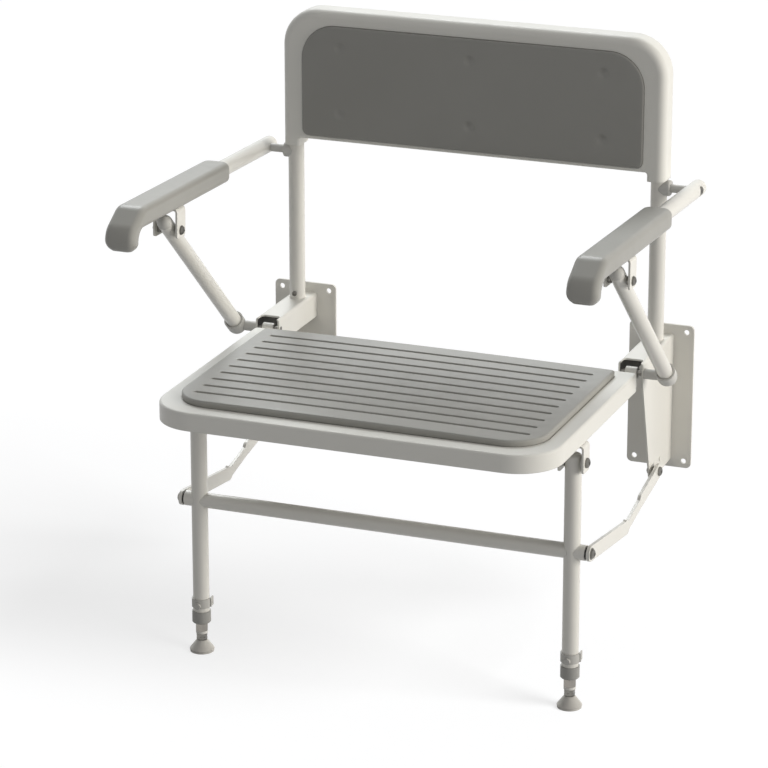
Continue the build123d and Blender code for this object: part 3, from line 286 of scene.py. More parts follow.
# %% Fine grain: the skin of paint, plastic or foam
grain_group, entry, leave = node_group("fine_grain", [("Scale", 900.0), ("Pebble", 0.5)], ["Height"])
place = grain_group.nodes.new("ShaderNodeTexCoord")
speck = grain_group.nodes.new("ShaderNodeTexNoise")
speck.inputs["Detail"].default_value = 3.0
grain_group.links.new(place.outputs["Object"], speck.inputs["Vector"])
grain_group.links.new(entry.outputs["Scale"], speck.inputs["Scale"])
pebble = grain_group.nodes.new("ShaderNodeTexVoronoi")
pebble.feature = "SMOOTH_F1"
grain_group.links.new(place.outputs["Object"], pebble.inputs["Vector"])
grain_group.links.new(entry.outputs["Scale"], pebble.inputs["Scale"])
blend = grain_group.nodes.new("ShaderNodeMix")
grain_group.links.new(entry.outputs["Pebble"], blend.inputs["Factor"])
grain_group.links.new(speck.outputs["Fac"], blend.inputs["A"])
grain_group.links.new(pebble.outputs["Distance"], blend.inputs["B"])
grain_group.links.new(blend.outputs["Result"], leave.inputs["Height"])
print("group", grain_group.name)

# %% Rubbed edges: where a rounded normal leaves the true one
BEVEL_SAMPLES = 4
RUB_RADIUS = 1.4 * MM

edge_group, entry, leave = node_group("rubbed_edge", [("Gain", 2.0)], ["Mask"])
rounded = edge_group.nodes.new("ShaderNodeBevel")
rounded.samples = BEVEL_SAMPLES
rounded.inputs["Radius"].default_value = RUB_RADIUS
surface = edge_group.nodes.new("ShaderNodeNewGeometry")
likeness = edge_group.nodes.new("ShaderNodeVectorMath")
likeness.operation = "DOT_PRODUCT"
edge_group.links.new(rounded.outputs["Normal"], likeness.inputs[0])
edge_group.links.new(surface.outputs["Normal"], likeness.inputs[1])
apart = maths(edge_group, "SUBTRACT", 1.0, likeness.outputs["Value"])
gained = maths(edge_group, "MULTIPLY", apart, entry.outputs["Gain"])
edge_group.links.new(maths(edge_group, "MINIMUM", gained, 1.0), leave.inputs["Mask"])
print("group", edge_group.name)

# %% [markdown]
# ## Finishes
# Every finish is a Principled shader. Its colour runs between a clean and a worn tone by the cloudy group,
# its roughness follows the smear, and its bump takes the grain on top of a slightly rounded edge. What is
# the same all over the surface, such as metallic or coat, is set on the shader itself.

# %% One builder for all finishes
CLOUD_CONTRAST = 1.3
EDGE_GAIN = 2.0
SMEAR_LOW = 0.3
SMEAR_HIGH = 0.7
BUMP_STRENGTH = 0.6


def add_group(tree, group, **values):
    """Place a node group in a material, with values for its inputs."""
    node = tree.nodes.new("ShaderNodeGroup")
    node.node_tree = group
    for label, value in values.items():
        node.inputs[label].default_value = value
    return node


def finish(name, clean, worn, gloss, grain, edge_radius=0.5 * MM, clouds=8.0, rub=0.25):
    """A material: clean and worn colours, (low, high) roughness, and (scale, pebble, depth) of its grain."""
    material = bpy.data.materials.new(name)
    material.use_nodes = True
    tree = material.node_tree
    shader = tree.nodes["Principled BSDF"]
    cloud = add_group(tree, cloud_group, Scale=clouds, Contrast=CLOUD_CONTRAST)
    edge = add_group(tree, edge_group, Gain=EDGE_GAIN)
    colour = tree.nodes.new("ShaderNodeMix")
    colour.data_type = "RGBA"
    colour.inputs["A"].default_value = (*clean, 1.0)
    colour.inputs["B"].default_value = (*worn, 1.0)
    rubbed = maths(tree, "MULTIPLY", edge.outputs["Mask"], rub)
    tone = maths(tree, "ADD", cloud.outputs["Tone"], rubbed)
    tree.links.new(tone, colour.inputs["Factor"])
    tree.links.new(colour.outputs["Result"], shader.inputs["Base Color"])
    rough = tree.nodes.new("ShaderNodeMapRange")
    rough.inputs["From Min"].default_value = SMEAR_LOW
    rough.inputs["From Max"].default_value = SMEAR_HIGH
    rough.inputs["To Min"].default_value = gloss[0]
    rough.inputs["To Max"].default_value = gloss[1]
    tree.links.new(cloud.outputs["Smear"], rough.inputs["Value"])
    tree.links.new(rough.outputs["Result"], shader.inputs["Roughness"])
    scale, pebble, depth = grain
    skin = add_group(tree, grain_group, Scale=scale, Pebble=pebble)
    bump = tree.nodes.new("ShaderNodeBump")
    bump.inputs["Distance"].default_value = depth
    bump.inputs["Strength"].default_value = BUMP_STRENGTH
    tree.links.new(skin.outputs["Height"], bump.inputs["Height"])
    soft = tree.nodes.new("ShaderNodeBevel")
    soft.samples = BEVEL_SAMPLES
    soft.inputs["Radius"].default_value = edge_radius
    tree.links.new(soft.outputs["Normal"], bump.inputs["Normal"])
    tree.links.new(bump.outputs["Normal"], shader.inputs["Normal"])
    return material, shader


# %% [markdown]
# ### Powder-coated steel
# Brackets, posts, tubes and links are steel under a cream-white powder coat. Baked powder is a satin gloss
# with a very shallow orange peel about a millimetre across. A clear coat on the shader gives the narrow
# bright lines along the tubes, over a body that is duller.

# %% Powder coat
powder_coat, shader = finish(
    "powder_coat",
    clean=(0.80, 0.785, 0.735),
    worn=(0.76, 0.74, 0.685),
    gloss=(0.36, 0.46),
    grain=(850.0, 0.3, 0.03 * MM),
    edge_radius=0.8 * MM,
)
shader.inputs["Coat Weight"].default_value = 0.25
shader.inputs["Coat Roughness"].default_value = 0.16
print(powder_coat.name)

# %% [markdown]
# ### Moulded plastics and rubber
# The backrest shell and the seat frame are moulded in white plastic with a spark-eroded skin: finer than
# paint, a little duller, and with soft edges because the tool has no sharp ones. Plugs, clips, collars,
# cups and ferrules are small mouldings, so their clouds are smaller too. All of them go through the same
# builder, from one table.

# %% Shells, plugs, nylon and rubber
PLUG_GRAIN = (1300.0, 0.4, 0.03 * MM)
NYLON_GRAIN = (1200.0, 0.5, 0.04 * MM)
PLUG_CLOUDS = 30.0
NYLON_CLOUDS = 24.0
SMALL_MOULDINGS = {
    "plug_white": ((0.80, 0.79, 0.755), (0.72, 0.70, 0.65), (0.42, 0.55), PLUG_GRAIN, PLUG_CLOUDS),
    "plug_black": ((0.016, 0.016, 0.015), (0.026, 0.025, 0.023), (0.45, 0.6), PLUG_GRAIN, PLUG_CLOUDS),
    "clip_nylon": ((0.56, 0.55, 0.52), (0.49, 0.48, 0.45), (0.42, 0.58), NYLON_GRAIN, NYLON_CLOUDS),
    "collar_nylon": ((0.66, 0.65, 0.62), (0.58, 0.57, 0.54), (0.42, 0.58), NYLON_GRAIN, NYLON_CLOUDS),
    "cup_nylon": ((0.64, 0.63, 0.595), (0.57, 0.56, 0.525), (0.40, 0.54), NYLON_GRAIN, NYLON_CLOUDS),
    "ferrule_nylon": ((0.385, 0.38, 0.36), (0.32, 0.315, 0.295), (0.45, 0.6), NYLON_GRAIN, NYLON_CLOUDS),
}
plastics = {}
plastics["moulded_white"], _ = finish(
    "moulded_white",
    clean=(0.80, 0.79, 0.745),
    worn=(0.765, 0.75, 0.70),
    gloss=(0.40, 0.52),
    grain=(1500.0, 0.6, 0.02 * MM),
    edge_radius=1.0 * MM,
    clouds=5.0,
)
for name, (clean, worn, gloss, grain, clouds) in SMALL_MOULDINGS.items():
    plastics[name], _ = finish(name, clean, worn, gloss, grain, clouds=clouds)
plastics["foot_rubber"], _ = finish(
    "foot_rubber",
    clean=(0.64, 0.62, 0.58),
    worn=(0.53, 0.51, 0.47),
    gloss=(0.5, 0.7),
    grain=(1000.0, 0.7, 0.06 * MM),
    clouds=26.0,
    rub=0.4,
)
print(*plastics)

# %% [markdown]
# ### Pad skin
# The pads are integral-skin foam: poured into a warm mould, where the outside sets to a closed grey skin.
# It is smooth to the hand, with a faint pebble, and shines most at a glancing view, where the warm grey
# turns neutral. The back pad takes a darker copy of the same skin, as painted shade for its upright face.

# %% Pad skin
PAD_TONES = {
    "pad_skin": ((0.350, 0.343, 0.316), (0.328, 0.321, 0.295)),
    # The second tone is the same skin made darker: painted shade for the upright back pad
    "shaded_back_skin": ((0.292, 0.287, 0.267), (0.272, 0.267, 0.248)),
}
PAD_LOOK = dict(gloss=(0.36, 0.44), grain=(1500.0, 0.7, 0.02 * MM), edge_radius=0.3 * MM, clouds=6.0, rub=0.0)
pad_skins = {name: finish(name, *tones, **PAD_LOOK)[0] for name, tones in PAD_TONES.items()}
print(*pad_skins)

# %% [markdown]
# ### Bare metal
# Bolts and studs are zinc-plated steel gone dull, and the sliding leg tubes are drawn tube with a warm
# grey tone. Both are fully metallic, so their colour is the colour of their reflections.

# %% Dull zinc and drawn tube
METALS = {
    "dull_zinc": dict(
        clean=(0.27, 0.26, 0.24),
        worn=(0.15, 0.145, 0.13),
        gloss=(0.30, 0.48),
        grain=(1800.0, 0.3, 0.02 * MM),
        edge_radius=0.25 * MM,
        clouds=160.0,
        rub=-0.5,
    ),
    "drawn_tube": dict(
        clean=(0.35, 0.33, 0.30),
        worn=(0.27, 0.25, 0.225),
        gloss=(0.32, 0.5),
        grain=(1400.0, 0.2, 0.02 * MM),
        edge_radius=0.3 * MM,
        clouds=60.0,
    ),
}
metals = {}
for name, look in METALS.items():
    metals[name], shader = finish(name, **look)
    shader.inputs["Metallic"].default_value = 1.0
print(*metals)

# %% [markdown]
# ## Dress the rigid pieces
# The frame's own meshes are right for every rigid piece. The record says which slot each one takes its
# finish from, so one table from slot to material dresses them all.

# %% Slot to material
FINISHES = {
    "coated_white": powder_coat,
    "moulded_white": plastics["moulded_white"],
    "pad_grey": pad_skins["pad_skin"],
    "dark_steel": metals["dull_zinc"],
    "collar_grey": plastics["collar_nylon"],
    "cup_grey": plastics["cup_nylon"],
    "ferrule_grey": plastics["ferrule_nylon"],
    "foot_grey": plastics["foot_rubber"],
    "inner_tube": metals["drawn_tube"],
    "plug_white": plastics["plug_white"],
    "plug_black": plastics["plug_black"],
}
node_slots = {row["node"]: row["material_slot"] for row in frame["record"]["subparts"]}
for name, piece in nodes.items():
    piece.data.materials.clear()
    piece.data.materials.append(FINISHES[node_slots[name]])
for side, _ in SIDES:
    nodes[f"{side}_leg_clip"].data.materials[0] = plastics["clip_nylon"]
print("dressed", len(nodes), "pieces")

# %% [markdown]
# ### Painted shade inside the bracket channels
# The inside of each bracket channel is painted near black: painted shade, in place of the shadow in the
# closed channel. A mask in the brackets' own coordinates finds it: between the channel's walls, under its top
# and down to where its inner wall ends.

# %% Bracket coat with painted shade inside the channels
CHANNEL_MIDDLE = 301.0 * MM
CHANNEL_HALF_GAP = 17.2 * MM
CHANNEL_ROOF = 99.2 * MM
CHANNEL_FLOOR = 62.0 * MM
# Painted shade: a near-black colour for the inside of each channel, in place of its shadow
PAINTED_SHADE_INSIDE = (0.045, 0.044, 0.042)

bracket_coat_painted_shade = powder_coat.copy()
bracket_coat_painted_shade.name = "bracket_coat_painted_shade"
tree = bracket_coat_painted_shade.node_tree
shader = tree.nodes["Principled BSDF"]
place = tree.nodes.new("ShaderNodeTexCoord")
axes = tree.nodes.new("ShaderNodeSeparateXYZ")
tree.links.new(place.outputs["Object"], axes.inputs["Vector"])
from_middle = maths(tree, "SUBTRACT", maths(tree, "ABSOLUTE", axes.outputs["X"], 0.0), CHANNEL_MIDDLE)
off_middle = maths(tree, "ABSOLUTE", from_middle, 0.0)
between = maths(tree, "LESS_THAN", off_middle, CHANNEL_HALF_GAP)
below = maths(tree, "LESS_THAN", axes.outputs["Z"], CHANNEL_ROOF)
above = maths(tree, "GREATER_THAN", axes.outputs["Z"], CHANNEL_FLOOR)
in_channel = maths(tree, "MULTIPLY", between, maths(tree, "MULTIPLY", below, above))
# Mix the painted shade in where the mask finds the inside of the channel
painted_shade_mix = tree.nodes.new("ShaderNodeMix")
painted_shade_mix.data_type = "RGBA"
painted_shade_mix.inputs["B"].default_value = (*PAINTED_SHADE_INSIDE, 1.0)
tree.links.new(in_channel, painted_shade_mix.inputs["Factor"])
tree.links.new(shader.inputs["Base Color"].links[0].from_socket, painted_shade_mix.inputs["A"])
tree.links.new(painted_shade_mix.outputs["Result"], shader.inputs["Base Color"])
for side, _ in SIDES:
    nodes[f"{side}_bracket_arm"].data.materials[0] = bracket_coat_painted_shade
print(bracket_coat_painted_shade.name)

# %% [markdown]
# ## Mesh helpers
# The new pieces are made of loops: closed rings of points with the same count, joined ring to ring by
# quads. A turned bolt head, a rounded pad rim and a bent arm pad are all such stacks of rings, only their
# shapes differ.

# %% Rings to a mesh


def bridge(bm, rings):
    """Join a stack of rings, each a list of bmesh vertices with the same count."""
    for low, high in zip(rings, rings[1:]):
        count = len(low)
        for i in range(count):
            j = (i + 1) % count
            bm.faces.new((low[i], low[j], high[j], high[i]))


def ring(bm, points):
    """Add a ring of points and return its vertices."""
    return [bm.verts.new(p) for p in points]


def cap(bm, edge_ring):
    """Close a ring with a fan about its middle."""
    middle = bm.verts.new(sum((v.co for v in edge_ring), Vector()) / len(edge_ring))
    count = len(edge_ring)
    for i in range(count):
        bm.faces.new((edge_ring[i], edge_ring[(i + 1) % count], middle))


def new_piece(name, bm, material, body, replaced=()):
    """Turn a bmesh into a smooth object that rides on a body."""
    bmesh.ops.recalc_face_normals(bm, faces=bm.faces)
    mesh = bpy.data.meshes.new(name)
    bm.to_mesh(mesh)
    bm.free()
    mesh.shade_smooth()
    mesh.materials.append(material)
    piece = bpy.data.objects.new(name, mesh)
    scene.collection.objects.link(piece)
    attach(piece, body)
    if replaced:
        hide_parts(*replaced)
    return piece


def keep_creases(piece, sharp):
    """Keep creases sharper than the given angle in an otherwise smooth mesh."""
    piece.data.set_sharp_from_angle(angle=radians(sharp))


# %% [markdown]
# ## Seat pad
# The seat pad is one moulding with a low crown, a rounded rim and ten drainage grooves with round ends. A
# cloth simulation would lose the grooves, and the real pad isn't a stuffed cover, so its top is drawn in
# plan: rings for the rim, rings for each groove, and a triangulation of the land between them. Heights
# come from formulas.

# %% Plans made of arcs
ARC_STEPS = 14


def arc(centre, radius, start, end, steps=ARC_STEPS):
    """Points on an arc, both ends included; angles in degrees."""
    turn = [radians(start + (end - start) * i / steps) for i in range(steps + 1)]
    return [(centre[0] + radius * cos(a), centre[1] + radius * sin(a)) for a in turn]


def filled_in(loop, step):
    """Add points to a loop's long edges, by the edge's length over the step."""
    points = []
    for here, there in zip(loop, loop[1:] + loop[:1]):
        start, end = Vector(here), Vector(there)
        parts = max(1, round((end - start).length / step))
        points += [tuple(start.lerp(end, i / parts)) for i in range(parts)]
    return points


def rounded_plan(low, high, low_corner, high_corner, inset, counts):
    """A rounded rectangle between two corners, drawn in by an inset; its radii may differ low and high.

    counts are the numbers of steps on its straight edges, the same for every inset, so that insets match.
    """
    lows, highs = low_corner - inset, high_corner - inset
    left, right = low[0] + inset, high[0] - inset
    bottom, top = low[1] + inset, high[1] - inset
    loop = arc((left + lows, bottom + lows), lows, 180, 270)
    loop += arc((right - lows, bottom + lows), lows, 270, 360)
    loop += arc((right - highs, top - highs), highs, 0, 90)
    loop += arc((left + highs, top - highs), highs, 90, 180)
    corner = ARC_STEPS + 1
    points = []
    for k in range(4):
        points += loop[k * corner:(k + 1) * corner]
        start = Vector(loop[(k + 1) * corner - 1])
        end = Vector(loop[((k + 1) * corner) % len(loop)])
        points += [tuple(start.lerp(end, i / counts[k % 2])) for i in range(1, counts[k % 2])]
    return points


# %% A moulded pad from its plan
RIM_STEPS = 7
PLAN_STEP = 18 * MM
BASE_DRAW = 0.35
WAIST_DRAW = 0.1
WAIST_HEIGHT = 0.35
SAME_PLACE = 1e-7


def moulded_pad(box, height_of, base, rim, holes, marks, to_world):
    """A bmesh of a pad: drawn-in sides, a rounded rim, and a top of triangles between the rim and the holes.

    box is (low, high, low corner radius, high corner radius); height_of gives the top's height at a place;
    holes are stacks of rings as (place, extra depth) lists; marks are extra places on the top.
    """
    low, high = box[:2]
    counts = [round((high[i] - low[i]) / PLAN_STEP) for i in (0, 1)]

    def loop_at(inset):
        return rounded_plan(*box, inset, counts)

    def shoulder(p):
        return height_of(*p) - rim

    stack = [[(p, base) for p in loop_at(BASE_DRAW * rim)]]
    stack.append([(p, base + WAIST_HEIGHT * (shoulder(p) - base)) for p in loop_at(WAIST_DRAW * rim)])
    stack.append([(p, shoulder(p)) for p in loop_at(0.0)])
    for i in range(1, RIM_STEPS + 1):
        a = pi / 2 * i / RIM_STEPS
        stack.append([(p, shoulder(p) + rim * sin(a)) for p in loop_at(rim * (1 - cos(a)))])
    bm = bmesh.new()
    made = [ring(bm, [to_world(*p, h) for p, h in loop]) for loop in stack]
    bridge(bm, made)
    bm.faces.new(list(reversed(made[0])))

    places = [Vector(p) for p, _ in stack[-1]]
    owners = list(made[-1])
    edges = [(i, (i + 1) % len(places)) for i in range(len(places))]
    for hole in holes:
        hole_rings = [ring(bm, [to_world(*p, height_of(*p) - d) for p, d in loop]) for loop in hole]
        bridge(bm, hole_rings)
        bm.faces.new(hole_rings[-1])
        start = len(places)
        count = len(hole[0])
        places += [Vector(p) for p, _ in hole[0]]
        owners += hole_rings[0]
        edges += [(start + i, start + (i + 1) % count) for i in range(count)]
    for mark in marks:
        places.append(Vector(mark))
        owners.append(bm.verts.new(to_world(*mark, height_of(*mark))))
    flat, _, triangles, origins, _, _ = delaunay_2d_cdt(places, edges, [], 1, SAME_PLACE)
    found = [owners[source[0]] for source in origins]
    for triangle in triangles:
        middle = sum((flat[i] for i in triangle), Vector((0.0, 0.0))) / 3
        if not any(inside(middle, hole[0]) for hole in holes):
            bm.faces.new([found[i] for i in triangle])
    return bm


def inside(point, hole_ring):
    """True if a place lies in the box of a groove's outer ring, which no land triangle's middle does."""
    across = [p for p, _ in hole_ring]
    return (
        min(p[0] for p in across) < point.x < max(p[0] for p in across)
        and min(p[1] for p in across) < point.y < max(p[1] for p in across)
    )


# %% Seat pad: land, rim and grooves
PAD_CROWN = 2.0 * MM
PAD_RIM = 3.4 * MM
PAD_FRONT_CORNER = 58.0 * MM
PAD_REAR_CORNER = 6.0 * MM
GROOVE_COUNT = 10
GROOVE_PITCH = 32.2 * MM
GROOVE_FIRST = -236.2 * MM
GROOVE_HALF = 265.0 * MM
GROOVE_RADIUS = 3.3 * MM
GROOVE_DEPTH = 4.0 * MM
GROOVE_END_STEPS = 12
GROOVE_STEP = 20.0 * MM
LANE_SHARES = (0.28, 0.5, 0.72)
LANE_STEP = 17.0 * MM
LANE_REACH = 15
LANE_FRONT_MARGIN = 12.0 * MM
LANE_REAR_MARGIN = 8.0 * MM

pad_low, pad_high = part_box("seat_pad")
pad_middle = (pad_low + pad_high) / 2


def seat_height(x, y):
    """Height of the crowned seat pad at a place."""
    away = x * x + (y - pad_middle.y) ** 2
    return pad_high.z - PAD_CROWN * away / pad_high.x**2


def groove_ring(y, grow, depth):
    """One ring of a groove, grown from its edge and lowered by a depth."""
    radius = GROOVE_RADIUS + grow
    reach = GROOVE_HALF - GROOVE_RADIUS
    loop = arc((reach, y), radius, -90, 90, GROOVE_END_STEPS)
    loop += arc((-reach, y), radius, 90, 270, GROOVE_END_STEPS)
    return [(p, depth) for p in filled_in(loop, GROOVE_STEP)]


GROOVE_SECTION = (
    (1.3 * MM, 0.0),
    (0.7 * MM, 0.06 * MM),
    (0.3 * MM, 0.3 * MM),
    (0.0, 0.8 * MM),
    (-0.35 * MM, 2.4 * MM),
    (-0.9 * MM, 3.4 * MM),
    (-2.0 * MM, GROOVE_DEPTH),
)
grooves = []
lanes = []
for i in range(GROOVE_COUNT):
    y = GROOVE_FIRST - i * GROOVE_PITCH
    grooves.append([groove_ring(y, grow, depth) for grow, depth in GROOVE_SECTION])
for i in range(-1, GROOVE_COUNT + 1):
    for share in LANE_SHARES:
        y = GROOVE_FIRST - (i + share) * GROOVE_PITCH
        if pad_low.y + LANE_FRONT_MARGIN < y < pad_high.y - LANE_REAR_MARGIN:
            lanes += [(x * LANE_STEP, y) for x in range(-LANE_REACH, LANE_REACH + 1)]
seat_bm = moulded_pad(
    ((pad_low.x, pad_low.y), (pad_high.x, pad_high.y), PAD_FRONT_CORNER, PAD_REAR_CORNER),
    seat_height,
    pad_low.z,
    PAD_RIM,
    grooves,
    lanes,
    lambda x, y, h: Vector((x, y, h)),
)
seat_cushion = new_piece("seat_cushion", seat_bm, pad_skins["pad_skin"], "seat", ["seat_pad"])
print("seat cushion:", len(seat_cushion.data.polygons), "faces")

# %% [markdown]
# ## Back pad
# The back pad is the same kind of moulding, set in a recess of the shell. It has a crown and six shallow
# dimples where its inserts pull the skin in as the foam cools. Rings of extra points round each dimple
# keep it smooth.

# %% Back pad
BACK_CROWN = 2.5 * MM
BACK_RIM = 3.0 * MM
BACK_TOP_CORNER = 56.0 * MM
BACK_LOW_CORNER = 11.0 * MM
DIMPLE_X = 216.0 * MM
DIMPLE_HEIGHTS = (419.0 * MM, 524.0 * MM)
DIMPLE_RADIUS = 11.0 * MM
DIMPLE_DEPTH = 2.2 * MM
DIMPLE_RINGS = 6
DIMPLE_SPOKES = 24
DIMPLE_CLEAR = 1.2
MARK_STEP_X = 18.0 * MM
MARK_STEP_Z = 17.0 * MM
MARKS_X = 15
MARKS_Z = 4

back_low, back_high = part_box("back_pad")
back_middle = (back_low + back_high) / 2
dimples = [(i * DIMPLE_X, z) for z in DIMPLE_HEIGHTS for i in (-1, 0, 1)]


def back_height(x, z):
    """How far the back pad stands forward at a place."""
    away = x * x + (z - back_middle.z) ** 2
    height = -back_low.y - BACK_CROWN * away / back_high.x**2
    for dimple_x, dimple_z in dimples:
        near = ((x - dimple_x) ** 2 + (z - dimple_z) ** 2) / DIMPLE_RADIUS**2
        if near < 1:
            height -= DIMPLE_DEPTH * (1 - near) ** 2
    return height


def clear_of_dimples(mark):
    """True if a place is well outside every dimple."""
    return all((Vector(mark) - Vector(d)).length > DIMPLE_CLEAR * DIMPLE_RADIUS for d in dimples)


grid = [
    (x * MARK_STEP_X, back_middle.z + z * MARK_STEP_Z)
    for x in range(-MARKS_X, MARKS_X + 1)
    for z in range(-MARKS_Z, MARKS_Z + 1)
]
back_marks = [mark for mark in grid if clear_of_dimples(mark)]
last_spoke = 360 - 360 / DIMPLE_SPOKES
for dimple in dimples:
    back_marks.append(dimple)
    for step in range(1, DIMPLE_RINGS + 1):
        radius = DIMPLE_RADIUS * step / DIMPLE_RINGS
        back_marks += arc(dimple, radius, 0, last_spoke, DIMPLE_SPOKES - 1)
back_bm = moulded_pad(
    ((back_low.x, back_low.z), (back_high.x, back_high.z), BACK_LOW_CORNER, BACK_TOP_CORNER),
    back_height,
    -back_high.y,
    BACK_RIM,
    [],
    back_marks,
    lambda x, z, h: Vector((x, -h, z)),
)
# The back pad takes the darker skin, which is painted shade
shaded_back_skin = pad_skins["shaded_back_skin"]
back_cushion = new_piece("back_cushion", back_bm, shaded_back_skin, "wall_frame", ["back_pad"])
print("back cushion:", len(back_cushion.data.polygons), "faces")

# %% [markdown]
# ## Arm pads
# Each arm pad is a foam moulding over the end of the arm tube, with a flat top, rounded edges and a nose
# that curls down for the hand and narrows to a small flat foot. It is lofted: a rounded section runs along
# the arm, follows the line of the nose on top and the line under it, and closes.

# %% Lines with rounded corners
BEND_STEPS = 10


def rounded_line(corners):
    """Points along a bent line. Corners are (along, up, bend radius); the two ends have no bend."""
    points = [Vector(corners[0][:2])]
    for before, here, after in zip(corners, corners[1:], corners[2:]):
        corner, radius = Vector(here[:2]), here[2]
        back = (Vector(before[:2]) - corner).normalized()
        ahead = (Vector(after[:2]) - corner).normalized()
        half_angle = back.angle(ahead) / 2
        middle = corner + (back + ahead).normalized() * radius / sin(half_angle)
        start = corner + back * radius / tan(half_angle) - middle
        end = corner + ahead * radius / tan(half_angle) - middle
        spokes = [start.lerp(end, i / BEND_STEPS).normalized() for i in range(BEND_STEPS + 1)]
        points += [middle + spoke * radius for spoke in spokes]
    return points + [Vector(corners[-1][:2])]


def spaced(points, count):
    """A count of places at even steps along a line of points."""
    reached = [0.0]
    for here, there in zip(points, points[1:]):
        reached.append(reached[-1] + (there - here).length)
    places = []
    k = 0
    for i in range(count):
        wanted = reached[-1] * i / (count - 1)
        while k < len(points) - 2 and reached[k + 1] < wanted:
            k += 1
        share = (wanted - reached[k]) / (reached[k + 1] - reached[k])
        places.append(points[k].lerp(points[k + 1], share))
    return places


# %% Arm pad sections
ARM_RISE = radians(2.0)
ARM_PAD_REAR = 183.0 * MM
ARM_PAD_RIDGE = 503.0 * MM
ARM_PAD_TIP = Vector((556.0, -17.0)) * MM
ARM_PAD_FOOT = Vector((542.0, -43.0)) * MM
ARM_PAD_NOSE_BACK = 520.0 * MM
ARM_PAD_TOP = 17.5 * MM
ARM_PAD_BOTTOM = -14.0 * MM
ARM_PAD_HALF = 24.0 * MM
RIDGE_BEND = 26.0 * MM
TIP_BEND = 28.0 * MM
INNER_BEND = 18.0 * MM
NOSE_START = 488.0 * MM
TOP_EDGE = 10.0 * MM
LOW_EDGE = 9.0 * MM
TAPER_HEIGHT = 18.0 * MM
TAPER_ROUND = 24.0 * MM
FOOT_HEIGHT = 6.5 * MM
FOOT_ROUND = 8.0 * MM
REAR_ROUND = 13.0 * MM
REAR_DRAW = 2.5 * MM
REAR_STEPS = 8
LENGTH_STEPS = 16
NOSE_RINGS = 44
EDGE_STEPS = 8
EDGE_OF_HEIGHT = 0.48
EDGE_OF_WIDTH = 0.9
END_CREASE = 33.0

arm_forward = Vector((0, -cos(ARM_RISE), sin(ARM_RISE)))
arm_up = Vector((0, sin(ARM_RISE), cos(ARM_RISE)))


def drawn_in(up, height, radius):
    """How far the end of the nose has drawn in where it rounds off over a height above its foot."""
    below = max(0.0, ARM_PAD_FOOT.y + height - up)
    return radius - sqrt(radius**2 - below**2)


def arm_stations():
    """(top point, bottom point, half width, drawn in) along the pad; points are (along, up)."""
    stations = []
    for i in range(REAR_STEPS + 1):
        a = pi / 2 * i / REAR_STEPS
        along = ARM_PAD_REAR + REAR_ROUND * (1 - cos(a))
        width = ARM_PAD_HALF - REAR_ROUND * (1 - sin(a))
        drawn = REAR_DRAW * (1 - sin(a))
        stations.append(((along, ARM_PAD_TOP), (along, ARM_PAD_BOTTOM), width, drawn))
    first = ARM_PAD_REAR + REAR_ROUND
    for i in range(1, LENGTH_STEPS):
        along = first + (NOSE_START - first) * i / LENGTH_STEPS
        stations.append(((along, ARM_PAD_TOP), (along, ARM_PAD_BOTTOM), ARM_PAD_HALF, 0.0))
    tops = rounded_line([
        (NOSE_START, ARM_PAD_TOP),
        (ARM_PAD_RIDGE, ARM_PAD_TOP, RIDGE_BEND),
        (*ARM_PAD_TIP, TIP_BEND),
        ARM_PAD_FOOT,
    ])
    lows = rounded_line([
        (NOSE_START, ARM_PAD_BOTTOM),
        (ARM_PAD_NOSE_BACK, ARM_PAD_BOTTOM, INNER_BEND),
        (ARM_PAD_NOSE_BACK, ARM_PAD_FOOT.y),
    ])
    for top, low in zip(spaced(tops, NOSE_RINGS), spaced(lows, NOSE_RINGS)):
        width = ARM_PAD_HALF - drawn_in(top.y, TAPER_HEIGHT, TAPER_ROUND)
        stations.append((top, low, width, drawn_in(top.y, FOOT_HEIGHT, FOOT_ROUND)))
    return stations


def section(width, height):
    """A rounded section of a half width and a height, as (sideways, up from its bottom)."""
    largest = min(EDGE_OF_HEIGHT * height, EDGE_OF_WIDTH * width)
    top_edge = min(TOP_EDGE, largest)
    low_edge = min(LOW_EDGE, largest)
    loop = arc((width - top_edge, height - top_edge), top_edge, 0, 90, EDGE_STEPS)
    loop += arc((-width + top_edge, height - top_edge), top_edge, 90, 180, EDGE_STEPS)
    loop += arc((-width + low_edge, low_edge), low_edge, 180, 270, EDGE_STEPS)
    loop += arc((width - low_edge, low_edge), low_edge, 270, 360, EDGE_STEPS)
    return loop


# %% Arm pads
for side, _ in SIDES:
    pivot = Vector(joints[f"{side}_arm_fold"]["pos_m"])
    bm = bmesh.new()
    rings = []
    for top, low, width, drawn in arm_stations():
        top, low = Vector(top), Vector(low)
        rise = (top - low).normalized()
        low = low + rise * drawn
        height = (top - low).length - drawn
        points = []
        for across, up in section(width, height):
            at = low + rise * up
            points.append(pivot + arm_forward * at.x + arm_up * at.y + Vector((across, 0, 0)))
        rings.append(ring(bm, points))
    bridge(bm, rings)
    cap(bm, rings[0])
    cap(bm, rings[-1])
    skin = pad_skins["pad_skin"]
    pad = new_piece(f"{side}_arm_cushion", bm, skin, f"{side}_arm", [f"{side}_arm_pad"])
    keep_creases(pad, END_CREASE)
    print(pad.name, len(pad.data.polygons), "faces")

# %% [markdown]
# ## Fasteners
# The frame's bolts are plain turned solids. On the real seat they are button heads with a hexagon socket,
# thick washers and lock nuts, which catch the light quite differently. They are stacks of rings too:
# circles for what is turned, and six-sided rings for sockets and nuts, all with the same number of points.

# %% Turned and six-sided rings
SPOKES = 36
TURNS = [tau * i / SPOKES for i in range(SPOKES)]


def circle(radius, height):
    """A round ring about the Z axis."""
    return [Vector((radius * cos(a), radius * sin(a), height)) for a in TURNS]


